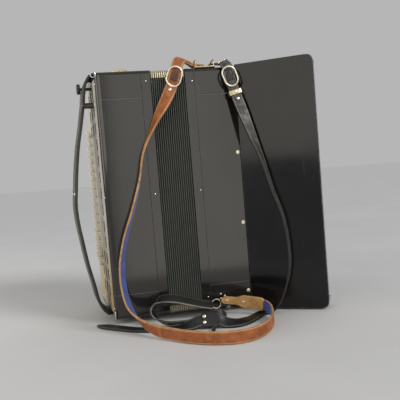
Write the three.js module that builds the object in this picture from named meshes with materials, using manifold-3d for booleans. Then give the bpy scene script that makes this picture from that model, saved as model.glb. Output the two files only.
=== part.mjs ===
// Piano accordion, standing on its bottom end, seen from the player's side.
// Millimetres, Z up, X towards the keyboard, Y away from the player.
import * as THREE from "three";
import { mergeVertices } from "three/addons/utils/BufferGeometryUtils.js";
import Module from "manifold-3d";

const wasm = await Module();
wasm.setup();

// Body: the casings, frames and bellows share one rounded outline.
const bodyHeight = 420;
const bodyDepth = 185;
const bodyEdgeRadius = 8;
const footHeight = 10;
const footRadius = 6;
const footInset = 31;
const clearance = 0.3;
const wall = 6;
const seatOverlap = 2;

// Widths along X, from the bass end to the line where the keyboard starts.
const bassCasingWidth = 76;
const frameWidth = 16;
const bellowsWidth = 59;
const trebleCasingWidth = 71.3;
const soundBoard = 8;
const frameThickness = 13;

// Bass end: the end face slopes outwards towards the front.
const bassEndAngleDeg = 8;
const bassBackCornerRadius = 9;
const bassFrontCornerRadius = 16;
const plateThickness = 2.5;
const platePride = 1.2;
const plateMarginShare = 0.0595;
const plateRebateShare = 0.027;

// Sound slots of the bass plate.
const slotWidthShare = 0.0486;
const slotLengthShare = 0.0452;
const slotStartShare = 0.2054;
const slotDropShare = 0.0786;
const slotPitchAlongShare = 0.1676;
const slotPitchUpShare = 0.0676;
const slotColumns = 3;
const fullSlotRows = 3;
const slotRows = 13;

// Bellows folds.
const foldCount = 16;
const foldDepth = 24;
const foldValley = 1.6;
const foldInset = 0.8;

// Bass buttons: five rows of sixteen.
const bassRows = 5;
const bassColumns = 16;
const bassRowPitchShare = 0.0703;
const bassColumnPitchShare = 0.0381;
const bassRowStagger = 3.2;
const bassButtonRadius = 3.6;
const bassButtonProud = 7;
const bassButtonSides = 6;
const bassBarWidth = 5;
const bassBarHeight = 4;
const bassBarDrop = 9;
const bassFirstRowShare = 0.64;
const bassSlotClearance = 0.6;

// Air button and the hand strap with its knob and adjusting wheel.
const airButtonRadius = 4.8;
const airButtonProud = 22;
const airButtonAlongShare = 0.14;
const airButtonShare = 0.876;
const airFlange = 3;
const airFlangeHeight = 2;
const handStrapWidth = 55;
const handStrapThickness = 6;
const handStrapAlong = 34;
const handStrapReach = 42.4;
const handStrapLap = 22;
const knobRadius = 9;
const knobThickness = 6;
const knobShaftRadius = 2.6;
const knobShare = 0.958;
const knobReach = 19.6;
const wheelRadius = 12.3;
const wheelThickness = 4;
const wheelStemRadius = 3;
const wheelAcross = 42;
const wheelBack = 24;
const wheelSides = 24;

// Keyboard board, swept back from the body at the crease.
const boardAngleDeg = 28;
const boardLength = 134.5;
const boardOverhang = 10;
const boardDrop = 7.8;
const boardThickness = 16;
const boardCornerRadius = 13;
const cheekHeight = 38;
const cheekMargin = 0.8;

// Keys: twenty white and fourteen black, levers on one axle.
const whiteCount = 20;
const keyMargin = 8;
const keyGap = 0.8;
const keyTip = 130;
const keyUnder = 24;
const keyTop = 42;
const keyTail = -34;
const axleAlong = -28;
const axleUp = 33;
const axleRadius = 2;
const axleBoreGap = 0.08;
const axleSides = 8;
const blackWidth = 10.2;
const blackNotchGap = 0.9;
const blackTip = 86;
const blackHeel = 9;
const blackTop = 50;
const blackSlope = 5;
const blackLeverWidth = 5.4;
const blackLeverTop = 40;
const blackUnder = 26;
const armWidth = 4;
const armThickness = 3.4;
const palletLength = 46;
const palletWidthShare = 0.4257;
const palletThickness = 4;
const palletStartShare = 0.52;

// Grille over the front of the treble side.
const grilleThickness = 2.5;
const grilleStartUp = 46;
const grilleBulge = 26;
const grilleSteps = 9;
const grilleWindowRows = 6;
const grilleWindowColumns = 2;
const grilleWindowWidth = 17;
const grilleWindowHeight = 40;
const grilleWindowPitch = 24;
const grilleWindowStart = 12;
const grilleWindowBackShare = 0.6;

// Reed blocks, standing off the two sound boards into the bellows.
const trebleReedReach = 44;
const bassReedReach = 28;
const reedBlockDepth = 60;
const reedBlockMargin = 45;
const reedBlockBack = 60;

// Strap brackets and rings.
const bracketLength = 36;
const bracketLoopShares = [0.06, 0.94];
const bracketWidth = 30;
const bracketPlate = 2.4;
const bracketLoopHeight = 12;
const bracketLoopWire = 2.6;
const bracketBack = 3;
const bracketStart = 3;
const bottomBracketWidth = 26;
const bottomBracketHeight = 15;
const bottomBracketRiseShare = 0.031;
const bottomRingRadius = 8;
const bottomRingWire = 2.6;
const ringLength = 37;
const ringWidth = 27;
const ringWire = 3.4;
const ringSides = 6;
const ringSteps = 16;

// Straps.
const strapWidth = 20;
const strapThickness = 3;
const beltWidth = 18;
const beltThickness = 2.6;
const buckleLength = 24;
const buckleWire = 1.8;
const buckleSpare = 1;
const buckleStepCount = 26;
const ringStepCount = 6;
const brownRingSink = 0.35;
const blackRingSink = 1.3;
const brownRingTurnDeg = -22;
const blackRingTurnDeg = 18;
const tipShare = 0.4;

// Rounding steps.
const cornerSteps = 3;
const roundSides = 16;

const bodyBottom = footHeight;
const bodyTop = bodyBottom + bodyHeight;
const bodyMiddle = bodyBottom + bodyHeight / 2;
const frameStart = bassCasingWidth;
const bellowsStart = frameStart + frameWidth;
const trebleFrameStart = bellowsStart + bellowsWidth;
const trebleStart = trebleFrameStart + frameWidth;
const bodyWidth = trebleStart + trebleCasingWidth;
const keyPitch = (bodyHeight - keyMargin - keyMargin) / whiteCount;
const palletWidth = keyPitch * palletWidthShare;
const plateMargin = bodyDepth * plateMarginShare;
const plateRebate = bodyDepth * plateRebateShare;
const slotWidth = bodyDepth * slotWidthShare;
const slotLength = bodyHeight * slotLengthShare;
const bassRowPitch = bodyDepth * bassRowPitchShare;
const bassColumnPitch = bodyHeight * bassColumnPitchShare;
const airButtonAlong = bodyDepth * airButtonAlongShare;
const boardAngle = THREE.MathUtils.degToRad(boardAngleDeg);
const bassEndAngle = THREE.MathUtils.degToRad(bassEndAngleDeg);

const part = new THREE.Group();
const looks = {
  celluloid: [0x171513, 0.22, 0],
  board: [0x1b1917, 0.3, 0],
  cloth: [0x1a1917, 0.8, 0],
  frame: [0x191715, 0.25, 0],
  cream: [0xcbbd96, 0.45, 0],
  ivory: [0xe6dfca, 0.3, 0],
  ebony: [0x121212, 0.3, 0],
  nickel: [0xb8b4aa, 0.3, 0.9],
  brass: [0xb69a5e, 0.35, 0.9],
  steel: [0x9b9c9d, 0.35, 0.9],
  brownLeather: [0x8a4a22, 0.65, 0],
  blackLeather: [0x2b2a29, 0.7, 0],
  blackPlastic: [0x121212, 0.25, 0],
  bassButton: [0xe9e2cf, 0.3, 0],
};

function solid(geometry) {
  let plain = geometry.clone();
  plain.deleteAttribute("normal");
  plain.deleteAttribute("uv");
  plain = mergeVertices(plain);
  return new wasm.Manifold(new wasm.Mesh({
    numProp: 3,
    vertProperties: new Float32Array(plain.attributes.position.array),
    triVerts: new Uint32Array(plain.index.array),
  }));
}

function shell(body) {
  const mesh = body.getMesh();
  const geometry = new THREE.BufferGeometry();
  geometry.setAttribute("position", new THREE.BufferAttribute(mesh.vertProperties, 3));
  geometry.setIndex(new THREE.BufferAttribute(mesh.triVerts, 1));
  return geometry;
}

function put(name, look, body) {
  const geometry = body.isBufferGeometry ? body : shell(body);
  const [color, roughness, metalness] = looks[look];
  const material = new THREE.MeshStandardMaterial({ color, roughness, metalness });
  material.name = look;
  const mesh = new THREE.Mesh(geometry, material);
  mesh.name = name;
  part.add(mesh);
}

// A box between two corners.
function block(x0, y0, z0, x1, y1, z1) {
  const geometry = new THREE.BoxGeometry(x1 - x0, y1 - y0, z1 - z0);
  geometry.translate((x0 + x1) / 2, (y0 + y1) / 2, (z0 + z1) / 2);
  return solid(geometry);
}

// A plan outline raised along Z.
function raised(points, z0, z1) {
  const shape = new THREE.Shape(points.map(([x, y]) => new THREE.Vector2(x, y)));
  const geometry = new THREE.ExtrudeGeometry(shape, { depth: z1 - z0, bevelEnabled: false });
  geometry.translate(0, 0, z0);
  return solid(geometry);
}

// A rounded rectangle as a list of points.
function roundedPoints(x0, y0, x1, y1, radius, steps = cornerSteps) {
  const corners = [
    [x1 - radius, y0 + radius, -0.5],
    [x1 - radius, y1 - radius, 0],
    [x0 + radius, y1 - radius, 0.5],
    [x0 + radius, y0 + radius, 1],
  ];
  const points = [];
  for (const [cx, cy, startShare] of corners) {
    for (let i = 0; i <= steps; i += 1) {
      const turn = Math.PI * (startShare + i / steps / 2);
      points.push([cx + radius * Math.cos(turn), cy + radius * Math.sin(turn)]);
    }
  }
  return points;
}

// Turns a raised plan so that its first axis is Y, its second Z and its height X.
function standUp(geometry) {
  return geometry.applyMatrix4(new THREE.Matrix4().set(
    0, 0, 1, 0,
    1, 0, 0, 0,
    0, 1, 0, 0,
    0, 0, 0, 1,
  ));
}

// The shared body outline from x0 to x1, shrunk by an inset.
function bodySlab(x0, x1, inset = 0) {
  const points = roundedPoints(
    inset, bodyBottom + inset, bodyDepth - inset, bodyTop - inset, bodyEdgeRadius,
  );
  const shape = new THREE.Shape(points.map(([y, z]) => new THREE.Vector2(y, z)));
  const geometry = new THREE.ExtrudeGeometry(shape, { depth: x1 - x0, bevelEnabled: false });
  standUp(geometry);
  geometry.translate(x0, 0, 0);
  return solid(geometry);
}

function ring(x0, x1, inset, thickness) {
  const hole = inset + thickness;
  return bodySlab(x0, x1, inset).subtract(block(
    x0 - clearance, hole, bodyBottom + hole,
    x1 + clearance, bodyDepth - hole, bodyTop - hole,
  ));
}

// A cylinder along Z, from z0 to z1.
function post(x, y, z0, z1, radius, sides = roundSides) {
  const geometry = new THREE.CylinderGeometry(radius, radius, z1 - z0, sides);
  geometry.rotateX(Math.PI / 2);
  geometry.translate(x, y, (z0 + z1) / 2);
  return geometry;
}

// A cylinder along X, from x0 to x1.
function rod(x0, x1, y, z, radius, sides = roundSides) {
  const geometry = new THREE.CylinderGeometry(radius, radius, x1 - x0, sides);
  geometry.rotateZ(Math.PI / 2);
  geometry.translate((x0 + x1) / 2, y, z);
  return geometry;
}

function turnedZ(body, angle, x, y) {
  const geometry = body.isBufferGeometry ? body : shell(body);
  geometry.rotateZ(angle);
  geometry.translate(x, y, 0);
  return solid(geometry);
}

// The bass end frame: X runs inwards through the end face, Y along it.
function onBassEnd(body) {
  return turnedZ(body, bassEndAngle, 0, 0);
}

// The board frame: X runs along the keyboard board, Y out of its front.
function onBoard(body) {
  return turnedZ(body, -boardAngle, bodyWidth, 0);
}

function boardPoint(along, up) {
  return [
    bodyWidth + along * Math.cos(boardAngle) + up * Math.sin(boardAngle),
    up * Math.cos(boardAngle) - along * Math.sin(boardAngle),
  ];
}

function feet(x) {
  const z1 = bodyBottom + seatOverlap;
  return solid(post(x, footInset, 0, z1, footRadius))
    .add(solid(post(x, bodyDepth - footInset, 0, z1, footRadius)));
}

// Plan outline of the bass casing, with rounded outer corners.
function bassPlan() {
  const lean = Math.tan(bassEndAngle) * bodyDepth;
  const outline = new THREE.Shape();
  const backIn = bassBackCornerRadius;
  const frontIn = bassFrontCornerRadius;
  outline.moveTo(bassCasingWidth - clearance, 0);
  outline.lineTo(bassCasingWidth - clearance, bodyDepth);
  outline.lineTo(frontIn - lean, bodyDepth);
  outline.quadraticCurveTo(
    -lean, bodyDepth, Math.tan(bassEndAngle) * frontIn - lean, bodyDepth - frontIn,
  );
  outline.lineTo(-Math.tan(bassEndAngle) * backIn, backIn);
  outline.quadraticCurveTo(0, 0, backIn, 0);
  return outline.getPoints(cornerSteps + 1);
}

function bassCasing() {
  const lean = Math.tan(bassEndAngle) * bodyDepth;
  const geometry = new THREE.ExtrudeGeometry(
    new THREE.Shape(bassPlan()), { depth: bodyHeight, bevelEnabled: false },
  );
  geometry.translate(0, 0, bodyBottom);
  let body = solid(geometry).intersect(bodySlab(-lean - wall, bassCasingWidth, 0));
  const hollowEnd = bassCasingWidth - clearance - soundBoard;
  const open = onBassEnd(block(
    -plateRebate, plateMargin + plateRebate, bodyBottom + plateMargin + plateRebate,
    bassCasingWidth, bodyDepth - plateMargin - plateRebate, bodyTop - plateMargin - plateRebate,
  )).intersect(block(
    -bodyDepth, 0, 0, hollowEnd, bodyDepth - wall, bodyTop,
  ));
  const hollow = raised([
    [hollowEnd, wall],
    [hollowEnd, bodyDepth - wall],
    [bassFrontCornerRadius - lean, bodyDepth - wall],
    [plateRebate + wall, wall + plateMargin],
    [plateRebate + wall, wall],
  ], bodyBottom + wall, bodyTop - wall);
  const rebate = onBassEnd(block(
    -plateRebate, plateMargin, bodyBottom + plateMargin,
    plateThickness - platePride + clearance, bodyDepth - plateMargin, bodyTop - plateMargin,
  ));
  body = body.subtract(hollow).subtract(open).subtract(rebate);
  body = body.add(block(
    hollowEnd + seatOverlap, reedBlockBack, bodyBottom + reedBlockMargin,
    bassCasingWidth + bassReedReach, reedBlockBack + reedBlockDepth, bodyTop - reedBlockMargin,
  ));
  body = body.subtract(solid(post(
    wheelAcross, wheelBack, bodyTop - wall - clearance, bodyTop + clearance,
    wheelStemRadius + clearance,
  )));
  return body.add(feet(bassCasingWidth / 2));
}

// Middles of the slots: full rows near both ends, and one column down the back edge.
function plateSlots() {
  const slots = [];
  for (let row = 0; row < slotRows; row += 1) {
    const z = bodyTop - bodyHeight * (slotDropShare + row * slotPitchUpShare);
    const full = row < fullSlotRows || row >= slotRows - fullSlotRows;
    for (let column = 0; column < (full ? slotColumns : 1); column += 1) {
      slots.push([bodyDepth * (slotStartShare + column * slotPitchAlongShare), z]);
    }
  }
  return slots;
}

function bassRowAlong(row) {
  return bodyDepth * bassFirstRowShare + (row - 1 / 2) * bassRowPitch;
}

function bassRowLow(row) {
  return bodyMiddle - bassColumnPitch * (bassColumns - 1) / 2
    + (row - (bassRows - 1) / 2) * bassRowStagger;
}

function bassPlate() {
  const out = -platePride;
  const into = plateThickness - platePride;
  let plate = block(
    out, plateMargin + clearance, bodyBottom + plateMargin + clearance,
    into, bodyDepth - plateMargin - clearance, bodyTop - plateMargin - clearance,
  );
  for (const [along, z] of plateSlots()) {
    plate = plate.subtract(block(
      out - clearance, along - slotWidth / 2, z - slotLength / 2,
      into + clearance, along + slotWidth / 2, z + slotLength / 2,
    ));
  }
  for (let row = 0; row < bassRows; row += 1) {
    const reach = bassButtonRadius + bassSlotClearance;
    const low = bassRowLow(row);
    plate = plate.subtract(block(
      out - clearance, bassRowAlong(row) - reach, low - reach,
      into + clearance, bassRowAlong(row) + reach,
      low + bassColumnPitch * (bassColumns - 1) + reach,
    ));
  }
  plate = plate.subtract(solid(rod(
    out - clearance, into + clearance, airButtonAlong, airHeight(),
    airButtonRadius + bassSlotClearance,
  )));
  plate = plate.subtract(solid(rod(
    out - clearance, into + clearance, knobAlong(), knobHeight(), knobShaftRadius + clearance,
  )));
  return onBassEnd(plate);
}

// One row of bass buttons on the bar that joins them under the plate.
function bassButtonRow(row) {
  const along = bassRowAlong(row);
  const low = bassRowLow(row);
  let body = block(
    bassBarDrop - bassBarHeight, along - bassBarWidth / 2, low - bassButtonRadius,
    bassBarDrop, along + bassBarWidth / 2,
    low + bassColumnPitch * (bassColumns - 1) + bassButtonRadius,
  );
  for (let column = 0; column < bassColumns; column += 1) {
    body = body.add(solid(rod(
      -bassButtonProud, bassBarDrop - bassBarHeight / 2, along,
      low + column * bassColumnPitch, bassButtonRadius, bassButtonSides,
    )));
  }
  return onBassEnd(body);
}

function airHeight() {
  return bodyBottom + bodyHeight * airButtonShare;
}

function airButton() {
  const inside = plateThickness + clearance;
  return onBassEnd(solid(rod(
    -airButtonProud, inside + airFlangeHeight, airButtonAlong, airHeight(), airButtonRadius,
  )).add(solid(rod(
    inside, inside + airFlangeHeight, airButtonAlong, airHeight(), airButtonRadius + airFlange,
  ))));
}

// Hand strap: an arched band beyond the bass plate, lapped over the top edge.
const handStrapShares = [
  [0.994, 0.08], [0.968, 0.215], [0.891, 0.354], [0.819, 0.486], [0.712, 0.708],
  [0.605, 0.866], [0.54, 0.939], [0.476, 1], [0.41, 0.976], [0.321, 0.866],
  [0.232, 0.74], [0.14, 0.559], [0.06, 0.39], [0.028, 0.23], [0.012, 0.07],
];

function handStrapOutline() {
  const seat = clearance + handStrapThickness / 2;
  const centre = handStrapShares.map(([up, out]) => new THREE.Vector2(
    -seat - out * handStrapReach, bodyBottom + up * bodyHeight,
  ));
  centre.unshift(new THREE.Vector2(-seat, bodyTop + seat));
  centre.unshift(new THREE.Vector2(handStrapLap, bodyTop + seat));
  const inner = [];
  const outer = [];
  centre.forEach((point, i) => {
    const before = centre[Math.max(i - 1, 0)];
    const after = centre[Math.min(i + 1, centre.length - 1)];
    const along = after.clone().sub(before).normalize();
    const out = new THREE.Vector2(along.y, -along.x).multiplyScalar(handStrapThickness / 2);
    inner.push(point.clone().sub(out));
    outer.push(point.clone().add(out));
  });
  return [...outer, ...inner.reverse()];
}

function knobAlong() {
  return handStrapAlong + handStrapWidth / 2;
}

function knobHeight() {
  return bodyBottom + bodyHeight * knobShare;
}

function handStrap() {
  const geometry = new THREE.ExtrudeGeometry(
    new THREE.Shape(handStrapOutline()), { depth: handStrapWidth, bevelEnabled: false },
  );
  geometry.rotateX(Math.PI / 2);
  geometry.translate(0, handStrapAlong + handStrapWidth, 0);
  const strap = solid(geometry).subtract(solid(rod(
    -bodyDepth, 0, knobAlong(), knobHeight(), knobShaftRadius + clearance,
  )));
  return onBassEnd(strap);
}

function strapKnob() {
  const head = -knobReach;
  return onBassEnd(solid(rod(
    head - knobThickness, head, knobAlong(), knobHeight(), knobRadius,
  )).add(solid(rod(
    head - seatOverlap, plateThickness - platePride, knobAlong(), knobHeight(), knobShaftRadius,
  ))));
}

function adjusterWheel() {
  const seat = bodyTop + clearance;
  return solid(post(
    wheelAcross, wheelBack, seat, seat + wheelThickness, wheelRadius, wheelSides,
  )).add(solid(post(
    wheelAcross, wheelBack, bodyTop - wall, seat + seatOverlap, wheelStemRadius,
  )));
}

// Bellows: one bevelled ring per fold, joined edge to edge.
function bellows() {
  const x0 = bellowsStart + clearance;
  const step = (bellowsWidth - clearance - clearance) / foldCount;
  let body = null;
  for (let fold = 0; fold < foldCount; fold += 1) {
    const points = roundedPoints(
      foldInset, bodyBottom + foldInset, bodyDepth - foldInset, bodyTop - foldInset,
      bodyEdgeRadius, cornerSteps - 1,
    );
    const shape = new THREE.Shape(points.map(([y, z]) => new THREE.Vector2(y, z)));
    const geometry = new THREE.ExtrudeGeometry(shape, {
      depth: 0,
      bevelThickness: step / 2,
      bevelSize: foldValley,
      bevelOffset: -foldValley,
      bevelSegments: 1,
    });
    standUp(geometry);
    geometry.translate(x0 + step * (fold + 1 / 2), 0, 0);
    const link = solid(geometry);
    body = body ? body.add(link) : link;
  }
  const hole = foldInset + foldDepth;
  return body.subtract(block(
    x0 - clearance, hole, bodyBottom + hole,
    x0 + bellowsWidth, bodyDepth - hole, bodyTop - hole,
  ));
}

// Front line of the treble side, from the keyboard round to the bellows.
function grilleLine(inset) {
  const [startX, startY] = boardPoint(-inset, grilleStartUp);
  const curve = new THREE.QuadraticBezierCurve(
    new THREE.Vector2(startX, startY),
    new THREE.Vector2(bodyWidth + grilleBulge - inset, bodyDepth - inset),
    new THREE.Vector2(trebleStart + clearance, bodyDepth - inset),
  );
  return curve.getPoints(grilleSteps).map((point) => [point.x, point.y]);
}

function treblePlan(inset) {
  return [
    [trebleStart + clearance, 0],
    [bodyWidth, 0],
    boardPoint(0, grilleStartUp - clearance),
    ...grilleLine(inset),
  ];
}

function trebleCasing() {
  const inset = grilleThickness + clearance;
  const far = bodyWidth + boardLength;
  let body = raised(treblePlan(inset), bodyBottom, bodyTop)
    .intersect(bodySlab(trebleStart, far, 0));
  const hollowStart = trebleStart + clearance + soundBoard;
  body = body.subtract(raised([
    [hollowStart, wall],
    [bodyWidth - wall, wall],
    boardPoint(-wall, boardThickness + clearance),
    boardPoint(boardLength, boardThickness + clearance),
    [far, bodyDepth + wall],
    [hollowStart, bodyDepth + wall],
  ], bodyBottom + wall, bodyTop - wall));
  body = body.add(block(
    trebleStart - trebleReedReach, reedBlockBack, bodyBottom + reedBlockMargin,
    trebleStart + clearance + seatOverlap, reedBlockBack + reedBlockDepth,
    bodyTop - reedBlockMargin,
  ));
  body = body.subtract(onBoard(post(
    axleAlong, axleUp, bodyBottom + wall / 2, bodyTop - wall / 2,
    axleRadius + clearance, axleSides,
  )));
  return body.add(feet(trebleStart + trebleCasingWidth / 2));
}

function trebleGrille() {
  const outer = grilleLine(0);
  const inner = grilleLine(grilleThickness).reverse();
  let body = raised([...outer, ...inner], bodyBottom, bodyTop)
    .intersect(bodySlab(trebleStart, bodyWidth + boardLength, 0));
  const rowPitch = (bodyHeight - grilleWindowHeight * 2) / (grilleWindowRows - 1);
  for (let column = 0; column < grilleWindowColumns; column += 1) {
    const x0 = trebleStart + grilleWindowStart + column * grilleWindowPitch;
    for (let row = 0; row < grilleWindowRows; row += 1) {
      const z0 = bodyBottom + grilleWindowHeight / 2 + row * rowPitch;
      body = body.subtract(block(
        x0, bodyDepth * grilleWindowBackShare, z0, x0 + grilleWindowWidth, bodyDepth + wall,
        z0 + grilleWindowHeight,
      ));
    }
  }
  return body;
}

function keyboardBoard() {
  const low = bodyBottom - boardDrop;
  const high = low + bodyHeight + boardOverhang;
  const outline = new THREE.Shape();
  outline.moveTo(clearance, low);
  outline.lineTo(boardLength - boardCornerRadius, low);
  outline.quadraticCurveTo(boardLength, low, boardLength, low + boardCornerRadius);
  outline.lineTo(boardLength, high - boardCornerRadius);
  outline.quadraticCurveTo(boardLength, high, boardLength - boardCornerRadius, high);
  outline.lineTo(clearance, high);
  const geometry = new THREE.ExtrudeGeometry(
    new THREE.Shape(outline.getPoints(cornerSteps + 1)),
    { depth: cheekHeight, bevelEnabled: false },
  );
  geometry.rotateX(Math.PI / 2);
  geometry.translate(0, cheekHeight, 0);
  const keysHigh = bodyMiddle + whiteCount * keyPitch / 2 + cheekMargin;
  const keysLow = bodyMiddle - whiteCount * keyPitch / 2 - cheekMargin;
  return onBoard(solid(geometry).subtract(block(
    0, boardThickness, keysLow, boardLength + clearance, cheekHeight + clearance, keysHigh,
  )));
}

function keyAxle() {
  return onBoard(post(
    axleAlong, axleUp, bodyBottom + wall / 2 + clearance, bodyTop - wall / 2 - clearance,
    axleRadius, axleSides,
  ));
}

// The arm and pallet of one key, from the axle to the sound board.
function keyArm(z) {
  const [axleX, axleY] = boardPoint(axleAlong, axleUp);
  const face = trebleStart + soundBoard + clearance + clearance;
  const start = bodyDepth * palletStartShare;
  const middle = start + palletLength / 2;
  const reach = armThickness;
  const arm = raised([
    [axleX - reach, axleY + axleRadius + reach],
    [axleX + reach, axleY + axleRadius + reach],
    [face + palletThickness + reach, middle],
    [face + palletThickness - seatOverlap, middle],
    [face + palletThickness - seatOverlap, start],
  ], z - armWidth / 2, z + armWidth / 2);
  const pallet = block(
    face, start, z - palletWidth / 2, face + palletThickness, start + palletLength,
    z + palletWidth / 2,
  );
  return arm.add(pallet);
}

function axleBore(z0, z1) {
  return solid(post(
    axleAlong, axleUp, z0 - clearance, z1 + clearance, axleRadius + axleBoreGap, axleSides,
  ));
}

// White keys from the low G at the top down to the high E; a black key follows
// the white keys marked with one, set off the gap by its share of the pitch.
const octaveShares = { G: 0, A: -0.1, C: 0.08, D: -0.08, F: 0.1 };
const whiteNames = "GABCDEFGABCDEFGABCDE";

function keyboard() {
  const low = (i) => bodyMiddle + whiteCount * keyPitch / 2 - (i + 1) * keyPitch;
  const blacks = [];
  for (let i = 0; i < whiteCount - 1; i += 1) {
    const share = octaveShares[whiteNames[i]];
    if (share !== undefined) blacks.push(low(i) + share * keyPitch);
  }
  for (let i = 0; i < whiteCount; i += 1) {
    const z0 = low(i) + keyGap / 2;
    const z1 = low(i) + keyPitch - keyGap / 2;
    let body = block(keyTail, keyUnder, z0, keyTip, keyTop, z1);
    for (const z of blacks) {
      const reach = blackWidth / 2 + blackNotchGap;
      if (z + reach < z0 || z - reach > z1) continue;
      body = body.subtract(block(
        keyTail - clearance, keyUnder - clearance, z - reach,
        blackTip + blackNotchGap, keyTop + clearance, z + reach,
      ));
    }
    const bounds = body.boundingBox();
    body = body.subtract(axleBore(bounds.min[2], bounds.max[2]));
    const rear = body.intersect(block(
      keyTail, keyUnder, z0, 0, keyTop, z1,
    )).boundingBox();
    const whole = onBoard(body).add(keyArm((rear.min[2] + rear.max[2]) / 2));
    put(`white_key_${String(i + 1).padStart(2, "0")}`, "ivory", whole);
  }
  blacks.forEach((z, i) => {
    const profile = new THREE.Shape([
      new THREE.Vector2(blackHeel, blackUnder),
      new THREE.Vector2(blackTip, blackUnder),
      new THREE.Vector2(blackTip, keyTop),
      new THREE.Vector2(blackTip - blackSlope, blackTop),
      new THREE.Vector2(blackHeel, blackTop),
    ]);
    const head = new THREE.ExtrudeGeometry(profile, { depth: blackWidth, bevelEnabled: false });
    head.translate(0, 0, z - blackWidth / 2);
    let body = solid(head).add(block(
      keyTail, blackUnder, z - blackLeverWidth / 2,
      blackHeel + seatOverlap, blackLeverTop, z + blackLeverWidth / 2,
    ));
    body = body.subtract(axleBore(z - blackWidth, z + blackWidth));
    put(`black_key_${String(i + 1).padStart(2, "0")}`, "ebony", onBoard(body).add(keyArm(z)));
  });
}

// A flat band along stations: place, and the turn of its width about its path.
function band(stations, width, thickness, endTaperShare = 1) {
  const positions = [];
  const faces = [];
  const last = stations.length - 1;
  stations.forEach(({ at, across }, i) => {
    const before = stations[Math.max(i - 1, 0)].at;
    const after = stations[Math.min(i + 1, last)].at;
    const along = after.clone().sub(before).normalize();
    const side = across.clone().addScaledVector(along, -across.dot(along)).normalize();
    const up = along.clone().cross(side).normalize();
    const half = width / 2 * (i === 0 || i === last ? endTaperShare : 1);
    for (const [s, t] of [[-1, -1], [1, -1], [1, 1], [-1, 1]]) {
      const corner = at.clone().addScaledVector(side, s * half);
      corner.addScaledVector(up, t * thickness / 2);
      positions.push(corner.x, corner.y, corner.z);
    }
  });
  for (let i = 0; i < last; i += 1) {
    for (let k = 0; k < 4; k += 1) {
      const a = i * 4 + k;
      const b = i * 4 + (k + 1) % 4;
      faces.push(a, b, b + 4, a, b + 4, a + 4);
    }
  }
  faces.push(0, 2, 1, 0, 3, 2);
  const end = last * 4;
  faces.push(end, end + 1, end + 2, end, end + 2, end + 3);
  const geometry = new THREE.BufferGeometry();
  geometry.setAttribute("position", new THREE.Float32BufferAttribute(positions, 3));
  geometry.setIndex(faces);
  return solid(geometry);
}

// Height from its share: -1 is the floor, 0 the underside of the body, 1 its top,
// and 2 is one foot height above the top.
function heightAt(share) {
  if (share < 0) return bodyBottom * (1 + share);
  if (share > 1) return bodyTop + (share - 1) * footHeight;
  return bodyBottom + share * bodyHeight;
}

function stationsFrom(shares) {
  return shares.map(([x, y, up, ax, ay, az]) => ({
    at: new THREE.Vector3(x * bodyWidth, y * bodyWidth, heightAt(up)),
    across: new THREE.Vector3(ax, ay, az),
  }));
}

// Strap paths: place as shares of the body width, from its back left corner, then
// the height share, then the way the width points.
const brownStrapShares = [
  [0.7889, 0.0755, 1.46, 0, 1, 0],
  [0.7239, 0.0755, 1.7, 0, 1, 0],
  [0.6798, 0.0671, 2.25, -0.2, 0.95, 0.25],
  [0.6337, 0.0357, 2.6, -0.5, 0.75, 0.45],
  [0.6001, -0.0126, 2.15, -0.75, 0.4, 0.6],
  [0.5741, -0.0453, 0.9976, -0.9, 0.1, 0.45],
  [0.5497, -0.0512, 0.9595, -0.93, 0, 0.36],
  [0.5308, -0.0529, 0.931, -0.93, 0, 0.36],
  [0.5015, -0.0587, 0.8952, -0.88, 0.2, 0.38],
  [0.4616, -0.0692, 0.8548, -0.75, 0.45, 0.35],
  [0.4154, -0.0797, 0.8119, -0.5, 0.75, 0.25],
  [0.3693, -0.0923, 0.7643, -0.25, 0.95, 0.1],
  [0.2833, -0.1091, 0.6643, 0, 1, 0],
  [0.2455, -0.1175, 0.5643, 0.1, 1, 0],
  [0.1762, -0.1343, 0.4381, 0.25, 0.97, 0],
  [0.1091, -0.1511, 0.3333, 0.35, 0.93, 0],
  [0.0713, -0.1762, 0.2286, 0.42, 0.9, 0],
  [0.0713, -0.2014, 0.1548, 0.42, 0.9, -0.05],
  [0.1007, -0.235, 0.0786, 0.4, 0.85, -0.25],
  [0.1553, -0.2812, 0.0333, 0.3, 0.6, -0.7],
  [0.235, -0.3693, 0.0095, 0.1, 0.25, -1],
  [0.3441, -0.4868, 0.0036, 0, 0.08, -1],
  [0.47, -0.6001, 0.0024, 0, 0.08, -1],
  [0.6001, -0.6714, 0.0024, 0, 0.05, -1],
  [0.7218, -0.6966, 0.0024, 0, 0, -1],
  [0.8309, -0.6714, 0.0024, 0, 0, -1],
  [0.9232, -0.6001, 0.0024, 0, 0, -1],
  [0.9987, -0.4868, 0.0024, 0, 0, -1],
  [1.0449, -0.3609, 0.0048, 0, 0, -1],
  [1.0617, -0.2602, 0.0107, 0, 0, -1],
  [1.0449, -0.193, 0.0179, 0, 0.1, -1],
  [0.9903, -0.1469, 0.0238, 0.05, 0.3, -1],
  [0.9127, -0.107, 0.031, 0.05, 0.35, -1],
  [0.8267, -0.0734, 0.0369, 0.05, 0.3, -1],
  [0.7637, -0.0504, 0.0405, 0, 0.2, -1],
];

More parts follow.
